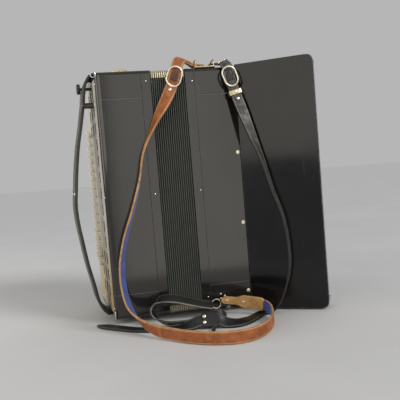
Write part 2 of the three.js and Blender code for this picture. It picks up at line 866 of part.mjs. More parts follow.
const blackStrapShares = [
  [0.8225, 0.0755, 1.46, 0, 1, 0],
  [0.8645, 0.0755, 1.65, 0, 1, 0],
  [0.8959, 0.0629, 1.87, 0.3, 0.9, 0.3],
  [0.9211, 0.0294, 1.85, 0.6, 0.65, 0.45],
  [0.9358, -0.0126, 1.3, 0.85, 0.3, 0.4],
  [0.9442, -0.042, 0.981, 0.95, 0.05, 0.3],
  [0.9505, -0.0512, 0.95, 0.95, 0, 0.3],
  [0.9631, -0.0529, 0.9214, 0.95, 0, 0.3],
  [0.9778, -0.0587, 0.8905, 0.95, 0.05, 0.28],
  [1.0029, -0.0797, 0.8357, 0.93, 0.2, 0.2],
  [1.0344, -0.1049, 0.7667, 0.85, 0.45, 0.1],
  [1.0659, -0.1301, 0.6976, 0.7, 0.65, 0.1],
  [1.0995, -0.1511, 0.6333, 0.5, 0.85, 0.1],
  [1.1666, -0.1783, 0.481, 0.5, 0.87, 0],
  [1.2253, -0.1972, 0.3643, 0.45, 0.87, 0],
  [1.2463, -0.2056, 0.2667, 0.45, 0.87, 0],
  [1.2421, -0.2077, 0.1619, 0.45, 0.87, 0],
  [1.2044, -0.1972, 0.0762, 0.4, 0.87, 0.1],
  [1.154, -0.1762, 0.019, 0.3, 0.9, 0.3],
  [1.0995, -0.1553, -0.5, 0.2, 0.97, 0.1],
  [1.0281, -0.1595, -0.76, -0.4, 0.9, 0],
  [0.9568, -0.2308, -0.74, -0.7, 0.7, 0.03],
  [0.8812, -0.3105, -0.52, -0.57, 0.8, 0.2],
  [0.7956, -0.3525, -0.42, 0, 0.93, 0.37],
  [0.7134, -0.3357, -0.15, 0, 0.72, 0.69],
  [0.6798, -0.324, 0.0076, 0, 0.55, 0.83],
  [0.6211, -0.3114, 0.0083, 0, 0.55, 0.83],
  [0.5623, -0.2992, 0.0076, 0, 0.55, 0.83],
  [0.5036, -0.2937, -0.15, 0, 0.72, 0.69],
  [0.4364, -0.2791, -0.56, 0.1, 0.95, 0.25],
  [0.2937, -0.235, -0.76, 0.3, 0.95, 0],
  [0.1385, -0.1679, -0.76, 0.4, 0.92, 0],
  [0, -0.0587, -0.76, 0.6, 0.8, 0],
  [-0.1343, 0.0546, -0.76, 0.64, 0.77, 0],
];

const lowerBeltShares = [
  [0.6928, -0.0525, 0.0226, 0, 0.8, 0.6],
  [0.6043, -0.0587, 0.0357, 0, 0.8, 0.6],
  [0.5308, -0.0671, 0.05, 0, 0.8, 0.6],
  [0.3903, -0.0755, 0.0738, 0, 0.8, 0.6],
  [0.3315, -0.0839, 0.0762, 0.25, 0.85, 0.45],
  [0.2812, -0.0965, 0.0619, 0.5, 0.85, 0.2],
  [0.2602, -0.1133, 0.0381, 0.6, 0.8, 0],
  [0.277, -0.1343, 0.0107, 0.4, 0.85, -0.3],
  [0.3273, -0.1679, -0.2, 0, 0.85, -0.5],
  [0.4196, -0.1888, -0.3, 0.05, 0.85, -0.5],
  [0.5036, -0.1972, -0.15, 0.1, 0.9, -0.4],
  [0.5497, -0.1972, 0.0024, 0.1, 0.9, -0.3],
];

// A strap from its shares, with a pointed or blunt last end.
function strap(shares, width, thickness, endShare = 1) {
  return band(stationsFrom(shares), width, thickness, endShare);
}

// The oval ring over a strap, some steps down its path.
function strapRing(shares, turnDeg, sink) {
  const tube = ringWire / 2;
  const geometry = new THREE.TorusGeometry(ringWidth / 2 - tube, tube, ringSides, ringSteps);
  const places = geometry.attributes.position;
  const stretch = (ringLength - ringWidth) / 2;
  for (let i = 0; i < places.count; i += 1) {
    const y = places.getY(i);
    places.setY(i, y + Math.sign(Math.round(y / tube)) * stretch);
  }
  geometry.rotateZ(THREE.MathUtils.degToRad(turnDeg));
  geometry.rotateX(Math.PI / 2);
  const { x, y, z } = stationsFrom(shares)[ringStepCount].at;
  geometry.translate(x, y - strapThickness / 2 - clearance - tube - sink, z);
  return solid(geometry);
}

function topBracket() {
  const seat = bodyTop + clearance;
  const start = trebleStart + bracketStart;
  const high = seat + bracketPlate + bracketLoopHeight;
  let body = block(
    start, bracketBack, seat, start + bracketLength, bracketBack + bracketWidth,
    seat + bracketPlate,
  );
  for (const share of bracketLoopShares) {
    const x = start + bracketLength * share;
    body = body.add(block(
      x - bracketLoopWire / 2, bracketBack, seat,
      x + bracketLoopWire / 2, bracketBack + bracketWidth, high,
    ));
  }
  return body.subtract(block(
    start - clearance, bracketBack + bracketLoopWire, seat + bracketPlate,
    start + bracketLength + clearance, bracketBack + bracketWidth - bracketLoopWire,
    high - bracketLoopWire,
  ));
}

// A plate on the back of the treble casing with a wire ring below it.
function bottomBracket() {
  const x = trebleStart + bottomBracketWidth / 2;
  const low = bodyBottom + bodyHeight * bottomBracketRiseShare;
  const plate = block(
    x - bottomBracketWidth / 2, -clearance - bracketPlate, low,
    x + bottomBracketWidth / 2, -clearance, low + bottomBracketHeight,
  );
  const geometry = new THREE.TorusGeometry(
    bottomRingRadius, bottomRingWire / 2, ringSides, ringSteps,
  );
  geometry.rotateX(Math.PI / 2);
  geometry.translate(
    x - bottomBracketWidth / 4, -clearance - bracketPlate - bottomRingWire / 4,
    low - bottomRingRadius / 2,
  );
  return plate.add(solid(geometry));
}

// A flat keeper round the black strap, set square to it.
function beltBuckle() {
  const near = stationsFrom(blackStrapShares.slice(buckleStepCount - 1, buckleStepCount + 2));
  const { at, across } = near[1];
  const along = near[2].at.clone().sub(near[0].at).normalize();
  const side = across.clone().addScaledVector(along, -across.dot(along)).normalize();
  const up = along.clone().cross(side);
  const open = strapThickness / 2 + buckleSpare;
  const reach = strapWidth / 2 + buckleSpare;
  const frame = block(
    -buckleLength / 2, -reach - buckleWire, -open - buckleWire,
    buckleLength / 2, reach + buckleWire, open + buckleWire,
  ).subtract(block(-buckleLength, -reach, -open, buckleLength, reach, open));
  const geometry = shell(frame);
  geometry.applyMatrix4(new THREE.Matrix4().makeBasis(along, side, up).setPosition(at));
  return solid(geometry);
}

put("bass_casing", "celluloid", bassCasing());
put("bass_plate", "cream", bassPlate());
put("bass_bellows_frame", "frame", ring(
  frameStart, bellowsStart, 0, frameThickness,
));
put("bellows", "cloth", bellows());
put("treble_bellows_frame", "frame", ring(
  trebleFrameStart, trebleStart, 0, frameThickness,
));
put("treble_casing", "celluloid", trebleCasing());
put("treble_grille", "celluloid", trebleGrille());
put("keyboard_board", "board", keyboardBoard());
put("key_axle", "steel", keyAxle());
keyboard();
for (let row = 0; row < bassRows; row += 1) {
  put(`bass_button_row_${row + 1}`, "bassButton", bassButtonRow(row));
}
put("air_button", "blackPlastic", airButton());
put("hand_strap", "blackLeather", handStrap());
put("strap_knob", "blackPlastic", strapKnob());
put("strap_adjuster_wheel", "brass", adjusterWheel());
put("top_strap_bracket", "nickel", topBracket());
put("bottom_strap_bracket", "nickel", bottomBracket());
put("brown_shoulder_strap", "brownLeather", strap(
  brownStrapShares, strapWidth, strapThickness, tipShare,
));
put("black_shoulder_strap", "blackLeather", strap(
  blackStrapShares, strapWidth, strapThickness, tipShare,
));
put("lower_belt", "blackLeather", strap(lowerBeltShares, beltWidth, beltThickness));
put("brown_strap_ring", "brass", strapRing(
  brownStrapShares, brownRingTurnDeg, brownRingSink,
));
put("black_strap_ring", "nickel", strapRing(
  blackStrapShares, blackRingTurnDeg, blackRingSink,
));
put("belt_buckle", "blackLeather", beltBuckle());

// The origin goes to the middle of the underside of the whole.
const box = new THREE.Box3().setFromObject(part);
for (const mesh of part.children) {
  mesh.geometry.translate(-(box.min.x + box.max.x) / 2, -(box.min.y + box.max.y) / 2, 0);
}

export default part;
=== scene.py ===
"""Piano accordion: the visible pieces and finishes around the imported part, in metres."""
import math

import bmesh
import bpy
from mathutils import Matrix, Vector


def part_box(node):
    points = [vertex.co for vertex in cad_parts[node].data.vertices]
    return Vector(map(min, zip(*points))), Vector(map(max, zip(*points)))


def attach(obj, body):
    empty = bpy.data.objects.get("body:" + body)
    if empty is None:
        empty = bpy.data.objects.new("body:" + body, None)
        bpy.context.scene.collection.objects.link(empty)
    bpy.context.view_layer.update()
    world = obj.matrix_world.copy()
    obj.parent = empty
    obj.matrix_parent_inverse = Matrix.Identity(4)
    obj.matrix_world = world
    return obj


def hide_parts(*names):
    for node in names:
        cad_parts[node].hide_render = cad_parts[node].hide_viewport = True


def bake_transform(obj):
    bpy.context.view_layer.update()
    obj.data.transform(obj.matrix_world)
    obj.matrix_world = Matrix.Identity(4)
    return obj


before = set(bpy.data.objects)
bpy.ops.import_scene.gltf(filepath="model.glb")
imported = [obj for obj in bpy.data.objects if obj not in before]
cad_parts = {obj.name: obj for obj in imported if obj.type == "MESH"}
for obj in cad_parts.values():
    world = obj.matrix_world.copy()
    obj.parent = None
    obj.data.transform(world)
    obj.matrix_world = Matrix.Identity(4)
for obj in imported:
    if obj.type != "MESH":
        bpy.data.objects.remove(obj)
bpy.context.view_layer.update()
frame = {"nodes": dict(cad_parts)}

MM = 0.001
TREBLE = "treble_side"
BASS = "bass_side"

# Sizes of the part's source, in millimetres, from the back left bottom corner of the body.
BODY_LOW, BODY_TOP, BODY_DEPTH = 10, 430, 185
BELLOWS_X = (92.3, 150.7)
FOLDS = 16
TREBLE_X, CREASE_X, SWEEP = 167.3, 238.3, math.radians(28)
END_SLOPE = math.radians(8)
FRAME_X = 76
corner = Vector(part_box("bass_bellows_frame")[0]) - Vector((FRAME_X, 0, BODY_LOW)) * MM
BODY = Matrix.Translation(corner) @ Matrix.Scale(MM, 4)
END = BODY @ Matrix.Rotation(END_SLOPE, 4, "Z")
BOARD = BODY @ Matrix.Translation((CREASE_X, 0, 0)) @ Matrix.Rotation(-SWEEP, 4, "Z")
IN_BODY, IN_END, IN_BOARD = BODY.inverted(), END.inverted(), BOARD.inverted()
# A small shape is drawn in millimetres about the origin, and set in its place later.
SHAPE = Matrix.Scale(MM, 4)


# Colours and nodes


def srgb(code):
    """A hex sRGB colour as linear RGBA."""
    parts = [int(code[i:i + 2], 16) / 255 for i in (0, 2, 4)]
    return [c / 12.92 if c <= 0.04045 else ((c + 0.055) / 1.055) ** 2.4 for c in parts] + [1]


def add(tree, kind, inputs=None, **settings):
    """A node with its settings, and its inputs set or linked by name or number. A node given
    as an input stands for its first output."""
    node = tree.nodes.new(kind)
    for key, value in settings.items():
        setattr(node, key, value)
    for key, value in (inputs or {}).items():
        if isinstance(value, bpy.types.Node):
            value = value.outputs[0]
        if isinstance(value, bpy.types.NodeSocket):
            tree.links.new(value, node.inputs[key])
        else:
            node.inputs[key].default_value = value
    return node


def started(name):
    """A new material, its node tree, and the spot on the object that its patterns read."""
    material = bpy.data.materials.new(name)
    material.use_nodes = True
    tree = material.node_tree
    tree.nodes.clear()
    return material, tree, add(tree, "ShaderNodeTexCoord").outputs["Object"]


def patches(tree, spot, size_mm, low, high, detail=4, scale=(1, 1, 1), turn=(0, 0, 0)):
    """Soft patches about size_mm across: 0 where the cloud is under low, 1 over high."""
    at = add(tree, "ShaderNodeMapping", {0: spot, "Scale": scale, "Rotation": turn})
    cloud = add(tree, "ShaderNodeTexNoise", {
        "Vector": at, "Scale": 1 / (size_mm * MM), "Detail": detail, "Roughness": 0.6})
    return add(tree, "ShaderNodeMapRange", {"Value": cloud, "From Min": low, "From Max": high})


def laid_over(tree, color, *layers):
    """The colour with tints laid over it in turn, each where its mask is 1: (tint, mask) or
    (tint, mask, amount)."""
    for tint, mask, *amount in layers:
        share = add(tree, "ShaderNodeMath", {0: mask, 1: (amount or [1])[0]}, operation="MULTIPLY")
        color = add(tree, "ShaderNodeMix", {0: share, 6: color, 7: srgb(tint)},
                    data_type="RGBA").outputs[2]
    return color


def surfaced(tree, color, mask, rough, height, depth_mm, shine=None):
    """The end of a finish: colour, roughness from one value to another, and relief."""
    spread = add(tree, "ShaderNodeMapRange", {
        "Value": mask, "To Min": rough[0], "To Max": rough[1]})
    relief = add(tree, "ShaderNodeBump", {
        "Height": height, "Distance": depth_mm * MM, "Strength": 0.6})
    shader = add(tree, "ShaderNodeBsdfPrincipled", {
        "Base Color": color, "Roughness": spread, "Normal": relief, **(shine or {})})
    add(tree, "ShaderNodeOutputMaterial", {0: shader})


def threads(tree, spot, pitch_mm, directions):
    """A weave: the higher of two sets of threads, pitch_mm apart."""
    sets = [add(tree, "ShaderNodeTexWave", {
        "Vector": spot, "Scale": 1 / (pitch_mm * MM) / 6.28, "Distortion": 0.4,
    }, bands_direction=direction).outputs["Fac"] for direction in directions]
    return add(tree, "ShaderNodeMath", {0: sets[0], 1: sets[1]}, operation="MAXIMUM")


def finish(name, base, layers, rough, relief=0, depth_mm=0.03, shine=None, worn=0):
    """A material from layers of (tint, amount, pattern), each laid over the last. Roughness
    follows layer number worn, and relief a layer's number or a pattern of its own."""
    material, tree, spot = started(name)
    color, masks = srgb(base), []
    for tint, amount, *pattern in layers:
        masks.append((threads if len(pattern) == 2 else patches)(tree, spot, *pattern))
        color = laid_over(tree, color, (tint, masks[-1], amount))
    height = masks[relief] if isinstance(relief, int) else patches(tree, spot, *relief)
    surfaced(tree, color, masks[worn], rough, height, depth_mm, shine)
    return material


# Finishes


def polished_celluloid(name, base, clouded, rough, ior=1.6, seams=()):
    """Pressed black celluloid sheet on wood: a gloss dulled in soft clouds by age, with hair
    scratches in three directions, dust specks and a fine joint line at each seam height, with a
    painted highlight under it: a pale brown line where the groove's lower lip catches the light."""
    material, tree, spot = started(name)
    cloud = patches(tree, spot, 80, 0.34, 0.7, 4)
    hairs = patches(tree, spot, 0.7, 0.69, 0.78, 2, (1, 1, 0.02), (0.5, 0.25, 0))
    for turn in ((1.15, -0.5, 0.3), (-0.7, 0.9, 0)):
        more = patches(tree, spot, 0.8, 0.7, 0.79, 2, (1, 1, 0.02), turn)
        hairs = add(tree, "ShaderNodeMath", {0: hairs, 1: more}, operation="MAXIMUM")
    worn = patches(tree, spot, 34, 0.5, 0.66, 3)
    hairs = add(tree, "ShaderNodeMath", {0: hairs, 1: worn}, operation="MULTIPLY")
    specks = patches(tree, spot, 1.8, 0.7, 0.78)
    color = laid_over(tree, srgb(base), (clouded, cloud), ("8a857c", hairs, 0.3),
                      ("7d786f", specks, 0.25))
    height = add(tree, "ShaderNodeMath", {0: hairs, 1: -0.3}, operation="MULTIPLY")
    level = add(tree, "ShaderNodeSeparateXYZ", {0: spot}).outputs[2]
    for seam in seams:
        # Under each dark joint line, a pale brown line is painted as the highlight on the groove's
        # lower lip.
        line, lip_highlight = (add(tree, "ShaderNodeMath", {0: level, 1: z * MM, 2: 0.45 * MM},
                         operation="COMPARE") for z in (seam, seam - 0.9))
        color = laid_over(tree, color, ("16130f", line, 0.7), ("6e5c47", lip_highlight, 0.45))
        height = add(tree, "ShaderNodeMath", {0: height, 1: line}, operation="SUBTRACT")
    surfaced(tree, color, cloud, rough, height, 0.2, {"IOR": ior})
    return material


def folded_cloth():
    """Black bookcloth over card: dull and finely woven, chipped on fold edges, and greyed there
    partly by wear and partly as a painted sheen where the ridges catch the light. Its threads
    are drawn 0.8 mm apart, over the real 0.3, to show."""
    material, tree, spot = started("bellows_cloth")
    edge = add(tree, "ShaderNodeAttribute", attribute_name="fold_edge").outputs["Fac"]
    weave = threads(tree, spot, 0.8, ("Y", "Z"))
    # The grey on the fold edges is partly wear and partly a painted sheen on the ridges.
    rub_and_sheen, chips = (add(tree, "ShaderNodeMath", {0: mask, 1: edge}, operation="MULTIPLY")
                  for mask in (patches(tree, spot, 60, 0.1, 0.45, 3),
                               patches(tree, spot, 5, 0.7, 0.73, 3, (1, 1, 0.4))))
    color = laid_over(tree, srgb("0f0f0e"), ("141513", weave), ("5f635b", rub_and_sheen, 0.85),
                      ("b9b3a4", chips, 0.8))
    surfaced(tree, color, edge, (0.85, 0.5), weave, 0.03, {"Sheen Weight": 0.1})
    return material


def aged_cream(name, top, bottom, grime, soil):
    """Cream celluloid sheet, yellowed towards the bottom, grimy in soft patches."""
    material, tree, spot = started(name)
    level = add(tree, "ShaderNodeSeparateXYZ", {0: spot}).outputs[2]
    height = add(tree, "ShaderNodeMapRange", {"Value": level, "From Min": 0.05, "From Max": 0.2})
    dirt = patches(tree, spot, 22, 0.42, 0.72, 5)
    color = laid_over(tree, srgb(bottom), (top, height), (grime, dirt, soil),
                      ("5f5334", patches(tree, spot, 2, 0.62, 0.72), soil * 0.7))
    surfaced(tree, color, dirt, (0.3, 0.55), patches(tree, spot, 5, 0.3, 0.7), 0.06)
    return material


def worn_metal(name, bright, tarnish, rough=0.28, clean=0.45):
    """Plated metal: bright, with brown tarnish in patches and fine pitting."""
    return finish(name, bright, [(tarnish, 1, 4, clean, clean + 0.3, 5)],
                  (rough, rough + 0.25), (0.8, 0.3, 0.7, 3), 0.03, {"Metallic": 1.0})


def leather(name, base, dark, light, rough=0.5, wear=0.4, line=None):
    """Vegetable-tanned strap leather: pores and creases, darkened and rubbed in patches, with
    a pressed line beside each edge. Pores are drawn 1.1 mm, over the real 0.5, to show."""
    material, tree, spot = started(name)
    pores = add(tree, "ShaderNodeTexVoronoi", {"Vector": spot, "Scale": 1 / (1.1 * MM)},
                feature="SMOOTH_F1")
    shade = patches(tree, spot, 22, 0.34, 0.66, 5)
    color = laid_over(tree, srgb(dark), (base, shade),
                      (light, patches(tree, spot, 7, 0.5, 0.72), wear),
                      (dark, patches(tree, spot, 3, 0.58, 0.68), 0.5))
    crease = patches(tree, spot, 5, 0.5, 0.58, 5, (1, 1, 2.2))
    height = add(tree, "ShaderNodeMath", {0: crease, 1: -0.5, 2: pores}, operation="MULTIPLY_ADD")
    if line:
        across = add(tree, "ShaderNodeAttribute", attribute_name="across_mm").outputs["Fac"]
        pressed = add(tree, "ShaderNodeMath", {0: across, 1: 8.2, 2: 0.55}, operation="COMPARE")
        color = laid_over(tree, color, (line, pressed, 0.8))
        height = add(tree, "ShaderNodeMath", {0: height, 1: pressed}, operation="SUBTRACT")
    surfaced(tree, color, shade, (rough + 0.12, rough - 0.1), height, 0.15)
    return material


def long_grain(name, dark, pale, scale):
    """Spruce and beech: pale bare wood with long grain and a few darker streaks."""
    return finish(name, dark, [(pale, 1, 2.2, 0.3, 0.7, 4, scale),
                               ("6f5232", 0.5, 9, 0.6, 0.7, 3, scale)], (0.5, 0.7), 0, 0.1)


celluloid = polished_celluloid("casing_celluloid", "161310", "24211d", (0.07, 0.15), 1.6,
                               (384, 53))
frame_celluloid = polished_celluloid("frame_celluloid", "161412", "24221e", (0.08, 0.16))
grille_celluloid = polished_celluloid("grille_celluloid", "191715", "272421", (0.2, 0.32), 1.45)
board_celluloid = polished_celluloid("board_celluloid", "0c0b0c", "151314", (0.08, 0.16), 1.4)
# Celluloid where handling has rounded the edges, greyed in patches partly by wear and partly as a
# painted highlight along them.
edge_celluloid, board_edge = (
    finish(name, base, [(rubbed_and_lit, 1, 9, 0.42, 0.7, 5)], (0.24, 0.42), (1.2, 0.3, 0.7), 0.05)
    for name, base, rubbed_and_lit in (("worn_and_highlit_casing_edge", "24211d", "676158"),
                               ("worn_and_highlit_board_edge", "151414", "4c4844")))
cloth = folded_cloth()
cream = aged_cream("cream_plate", "d6d1c4", "c2ae80", "8d7a4c", 0.3)
button_cream = aged_cream("button_cream", "e2ddd0", "ded6c0", "cfc7b2", 0.15)
# Painted shade: the walls inside the plate's slots are matt black, with grey dust, so that they
# read as dark holes.
slot_shade = finish("slot_walls_painted_shade", "080707", [("191816", 1, 6, 0.5, 0.8)], (0.85, 0.95), 0,
                     0.05, {"Specular IOR Level": 0.1})
# Ivory celluloid key tops: cream, glossy, with faint long grain and finger soiling.
ivory = finish("key_ivory", "ded5b8", [
    ("e9e2cc", 1, 1.4, 0.4, 0.62, 3, (0.06, 1, 1), (0, 0, SWEEP)),
    ("b9a878", 0.4, 30, 0.48, 0.76)], (0.2, 0.4), worn=1)
# Black moulded key tops, polished by fingers, with a few fine nicks.
ebony = finish("key_ebony", "0f0f0f", [
    ("24221f", 1, 12, 0.45, 0.75), ("4a463f", 0.5, 2, 0.68, 0.74)], (0.2, 0.42), 1, 0.06)
nickel = worn_metal("worn_nickel", "c9c4b8", "6f6656")
pale_nickel = worn_metal("pale_nickel", "e2dcc8", "9a8c6a", 0.35, 0.52)
chrome = worn_metal("chrome_stud", "d8d8d8", "8b8a86", 0.12, 0.55)
brass = worn_metal("worn_brass", "c4b794", "66563a", 0.3)
steel = worn_metal("drawn_steel", "a6a8aa", "6c6258", 0.3)
brown = leather("brown_leather", "a05829", "7c421c", "c08450", 0.5, 0.35, "cc9b60")
dark_brown = leather("dark_brown_leather", "5a2c1c", "38190f", "7d4530", 0.38, 0.3)
tan = leather("tan_leather", "c8975a", "a87a44", "e2bf8e", 0.55, 0.4)
raw_edge = leather("cut_leather_edge", "b58a5c", "8b6540", "d6b488", 0.7, 0.5)
black_leather = leather("black_leather", "151413", "0c0b0a", "383632", 0.42, 0.3, "6a695f")
# Black leather rubbed grey. On the lower belt's edges the same grey is a painted highlight.
grey_leather = leather("rubbed_and_highlit_black_leather", "3b3b36", "1e1d1b", "74746a", 0.45, 0.6, "8f8e84")
steel_black = worn_metal("blackened_steel", "2c2a28", "171512", 0.35)
strap_grey = leather("greyed_hand_strap", "54554c", "403f39", "74766c", 0.5, 0.5)
# The hand strap's edges: its grey leather made darker, as painted shade.
strap_edge_shade = leather("hand_strap_edge_painted_shade", "2b2d28", "1b1c19", "4b4d45", 0.55, 0.4)
# Royal blue cotton lining, twill woven, faded in patches. Its threads are drawn 1 mm apart,
# over the real 0.4, to show.
lining = finish("blue_lining", "2a3b80", [
    ("485ba6", 1, 18, 0.3, 0.7), ("1f2968", 0.35, 1.0, ("DIAGONAL", "Z"))],
    (0.8, 0.95), 1, 0.08, {"Sheen Weight": 0.2}, 1)
# Turned black casein plastic, polished, with fine turning marks.
plastic = finish("black_casein", "100f0f", [("242220", 1, 8, 0.3, 0.7, 3)], (0.16, 0.35),
                 (1.5, 0.3, 0.7))
# Dark open-weave cloth behind the grille, with a thread every 1.2 mm.
gauze = finish("grille_cloth", "1a1210", [("5c3a2c", 1, 1.2, ("Z", "DIAGONAL"))], (0.95, 0.8), 0,
               0.2, {"Sheen Weight": 0.1})
wood = long_grain("bare_wood", "8f6c44", "c9a877", (1, 1, 0.06))
key_wood = long_grain("key_wood", "9a7a50", "cdb084", (0.08, 1, 1))
# Wool felt under the pallets, matted and slightly faded.
felt = finish("pallet_felt", "5e1c1a", [("8c3a32", 1, 1.2, 0.3, 0.7, 5)], (0.9, 1.0), 0, 0.3,
              {"Sheen Weight": 0.3})


# Meshes


def shown(name, data):
    """A new object in the scene."""
    obj = bpy.data.objects.new(name, data)
    bpy.context.collection.objects.link(obj)
    return obj


def painted(mesh, materials):
    """The mesh with its materials, if it has none yet."""
    if not mesh.materials:
        for material in materials:
            mesh.materials.append(material)
    return mesh


def piece(name, mesh, materials, body, replaces=(), smooth=40, flat=False):
    """A finished object from a mesh that is already in the part's frame. A flat piece keeps
    its large faces flat in the light, so that they mirror like sheet."""
    painted(mesh, materials).shade_smooth()
    mesh.set_sharp_from_angle(angle=math.radians(smooth))
    if flat:
        mesh = worked(mesh, "WEIGHTED_NORMAL", keep_sharp=True, weight=100)
    mesh.name = name
    obj = shown(name, mesh)
    if body:
        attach(obj, body)
    if replaces:
        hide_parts(*replaces)
    return obj


def mesh_from(verts, faces, matrix=SHAPE, numbers=None, marks=None):
    """A mesh from points and faces, moved by a matrix, with a material number per face and
    a named value per point."""
    mesh = bpy.data.meshes.new("piece")
    mesh.from_pydata([tuple(v) for v in verts], [], faces)
    if numbers:
        mesh.polygons.foreach_set("material_index", numbers)
    if marks:
        attribute = mesh.attributes.new(marks[0], "FLOAT", "POINT")
        attribute.data.foreach_set("value", marks[1])
    mesh.transform(matrix)
    mesh.validate()
    mesh.update()
    return mesh


def outward(mesh):
    """The mesh with its faces turned to point outwards."""
    bm = bmesh.new()
    bm.from_mesh(mesh)
    bmesh.ops.remove_doubles(bm, verts=bm.verts, dist=1e-7)
    bmesh.ops.recalc_face_normals(bm, faces=bm.faces)
    bm.to_mesh(mesh)
    bm.free()
    return mesh


def lofted(rows, matrix=SHAPE, ends="capped", around=True, **marks):
    """A skin over rows of points, each row a ring or, if not around, a line. Its two ends are
    capped, joined to each other or left open."""
    count, total = len(rows[0]), len(rows) * len(rows[0])
    faces = []
    for a in range(len(rows) - (ends != "joined")):
        b = (a + 1) % len(rows)
        for i in range(count - (not around)):
            j = (i + 1) % count
            faces.append((a * count + i, a * count + j, b * count + j, b * count + i))
    if ends == "capped":
        faces += [tuple(range(count)), tuple(range(total - 1, total - count - 1, -1))]
    mesh = mesh_from([p for row in rows for p in row], faces, matrix, **marks)
    return mesh if ends == "open" else outward(mesh)


def arc(start, end, steps):
    """(cos, sin) at even steps from one number of quarter turns to another."""
    turns = [math.pi / 2 * (start + (end - start) * i / steps) for i in range(steps + 1)]
    return [(math.cos(turn), math.sin(turn)) for turn in turns]


def circle(sides, start=0.0):
    """(cos, sin) round a whole circle, from a share of its first step."""
    return arc(4 * start / sides, 4 + 4 * start / sides, sides)[:-1]


def joined(meshes):
    """One mesh from several, keeping their material numbers."""
    bm = bmesh.new()
    for mesh in meshes:
        bm.from_mesh(mesh)
    out = bpy.data.meshes.new("piece")
    bm.to_mesh(out)
    bm.free()
    return out


def result(obj):
    """The mesh that an object's modifiers make. The object itself is removed."""
    bpy.context.view_layer.update()
    evaluated = obj.evaluated_get(bpy.context.evaluated_depsgraph_get())
    mesh = bpy.data.meshes.new_from_object(evaluated)
    bpy.data.objects.remove(obj)
    return mesh


def worked(mesh, kind, **settings):
    """The mesh with one modifier's work done on it."""
    obj = shown("rough_piece", mesh)
    modifier = obj.modifiers.new("work", kind)
    for key, value in settings.items():
        setattr(modifier, key, value)
    return result(obj)


def bored(mesh, tool):
    """The mesh with the space of another one cut out of it."""
    cutter = shown("cutter", tool)
    mesh = worked(mesh, "BOOLEAN", object=cutter, operation="DIFFERENCE", solver="EXACT")
    bpy.data.objects.remove(cutter)
    return mesh


def rounded(mesh, width_mm, segments=2, angle=32, edge=-1):
    """The mesh with its sharp edges rounded, in one material if edge is its number."""
    return worked(mesh, "BEVEL", width=width_mm * MM, segments=segments, limit_method="ANGLE",
                  angle_limit=math.radians(angle), material=edge)


def node_copy(node, cut_up=None):
    """A CAD node's mesh with its flat faces joined, and cut at a height above the board."""
    bm = bmesh.new()
    bm.from_mesh(frame["nodes"][node].data)
    bmesh.ops.remove_doubles(bm, verts=bm.verts, dist=2e-6)
    bmesh.ops.dissolve_limit(
        bm, angle_limit=math.radians(0.6), verts=bm.verts, edges=bm.edges,
    )
    if cut_up is not None:
        bmesh.ops.bisect_plane(
            bm, geom=bm.verts[:] + bm.edges[:] + bm.faces[:], dist=1e-7,
            plane_co=BOARD @ Vector((0, cut_up, 0)),
            plane_no=(BOARD.to_3x3() @ Vector((0, 1, 0))).normalized(),
        )
    mesh = bpy.data.meshes.new(node)
    bm.to_mesh(mesh)
    bm.free()
    return mesh


def dressed(node, name, body, materials, width_mm, segments=2, angle=32, edge=-1,
            number_at=None, cut_up=None):
    """A piece that stands for a CAD node, with rounded edges and a material by place."""
    mesh = painted(node_copy(node, cut_up), materials)
    if number_at:
        for face in mesh.polygons:
            face.material_index = number_at(face.center)
    mesh = rounded(mesh, width_mm, segments, angle, edge)
    return piece(name, mesh, materials, body, (node,), 35, True)


def lathed(profile, sides=24, ends="open", flutes=0, depth=0):
    """A turned body about Z from (radius, height) points. One that starts and ends on the
    axis is closed there, and the ends of a ring's profile are joined. Its widest part may be
    cut into flutes."""
    widest = max(radius for radius, _ in profile)
    rows = []
    for radius, z in profile:
        share = depth if radius > widest * 0.86 else 0
        cuts = [1 - share * (0.5 + 0.5 * math.cos(flutes * math.atan2(s, c)))
                for c, s in circle(sides)]
        rows.append([(radius * cut * c, radius * cut * s, z)
                     for cut, (c, s) in zip(cuts, circle(sides))])
    return outward(lofted(rows, ends=ends))


def wire(points, radius, sides=10, closed=False, matrix=BODY):
    """A round wire bent through points."""
    points = [Vector(p) for p in points]
    count = len(points)
    rows, last = [], None
    for i, at in enumerate(points):
        before = points[i - 1] if closed or i else at
        after = points[(i + 1) % count] if closed or i < count - 1 else at
        ahead = (after - before).normalized()
        if last is None:
            last = ahead.orthogonal()
        last = (last - ahead * last.dot(ahead)).normalized()
        other = ahead.cross(last)
        rows.append([at + (last * c + other * s) * radius for c, s in circle(sides)])
    return lofted(rows, matrix, "joined" if closed else "capped")


def block(low, high, matrix=BODY, round_mm=0):
    """A squared bar between two corners, with its edges rounded if asked."""
    spots = [(x, y, z) for x in (low[0], high[0]) for y in (low[1], high[1])
             for z in (low[2], high[2])]
    faces = [(0, 1, 3, 2), (4, 6, 7, 5), (0, 4, 5, 1), (2, 3, 7, 6), (0, 2, 6, 4), (1, 5, 7, 3)]
    mesh = outward(mesh_from(spots, faces, matrix))
    return rounded(mesh, round_mm, 2, 40) if round_mm else mesh


def set_at(mesh, *point):
    """A small shape moved to a (matrix, spot, out, along) point, its Z turned to out."""
    at, z, x = pointed(*point)
    x = (x - z * x.dot(z)).normalized()
    turn = Matrix((x, z.cross(x), z)).transposed().to_4x4()
    mesh.transform(Matrix.Translation(at) @ turn)
    return mesh


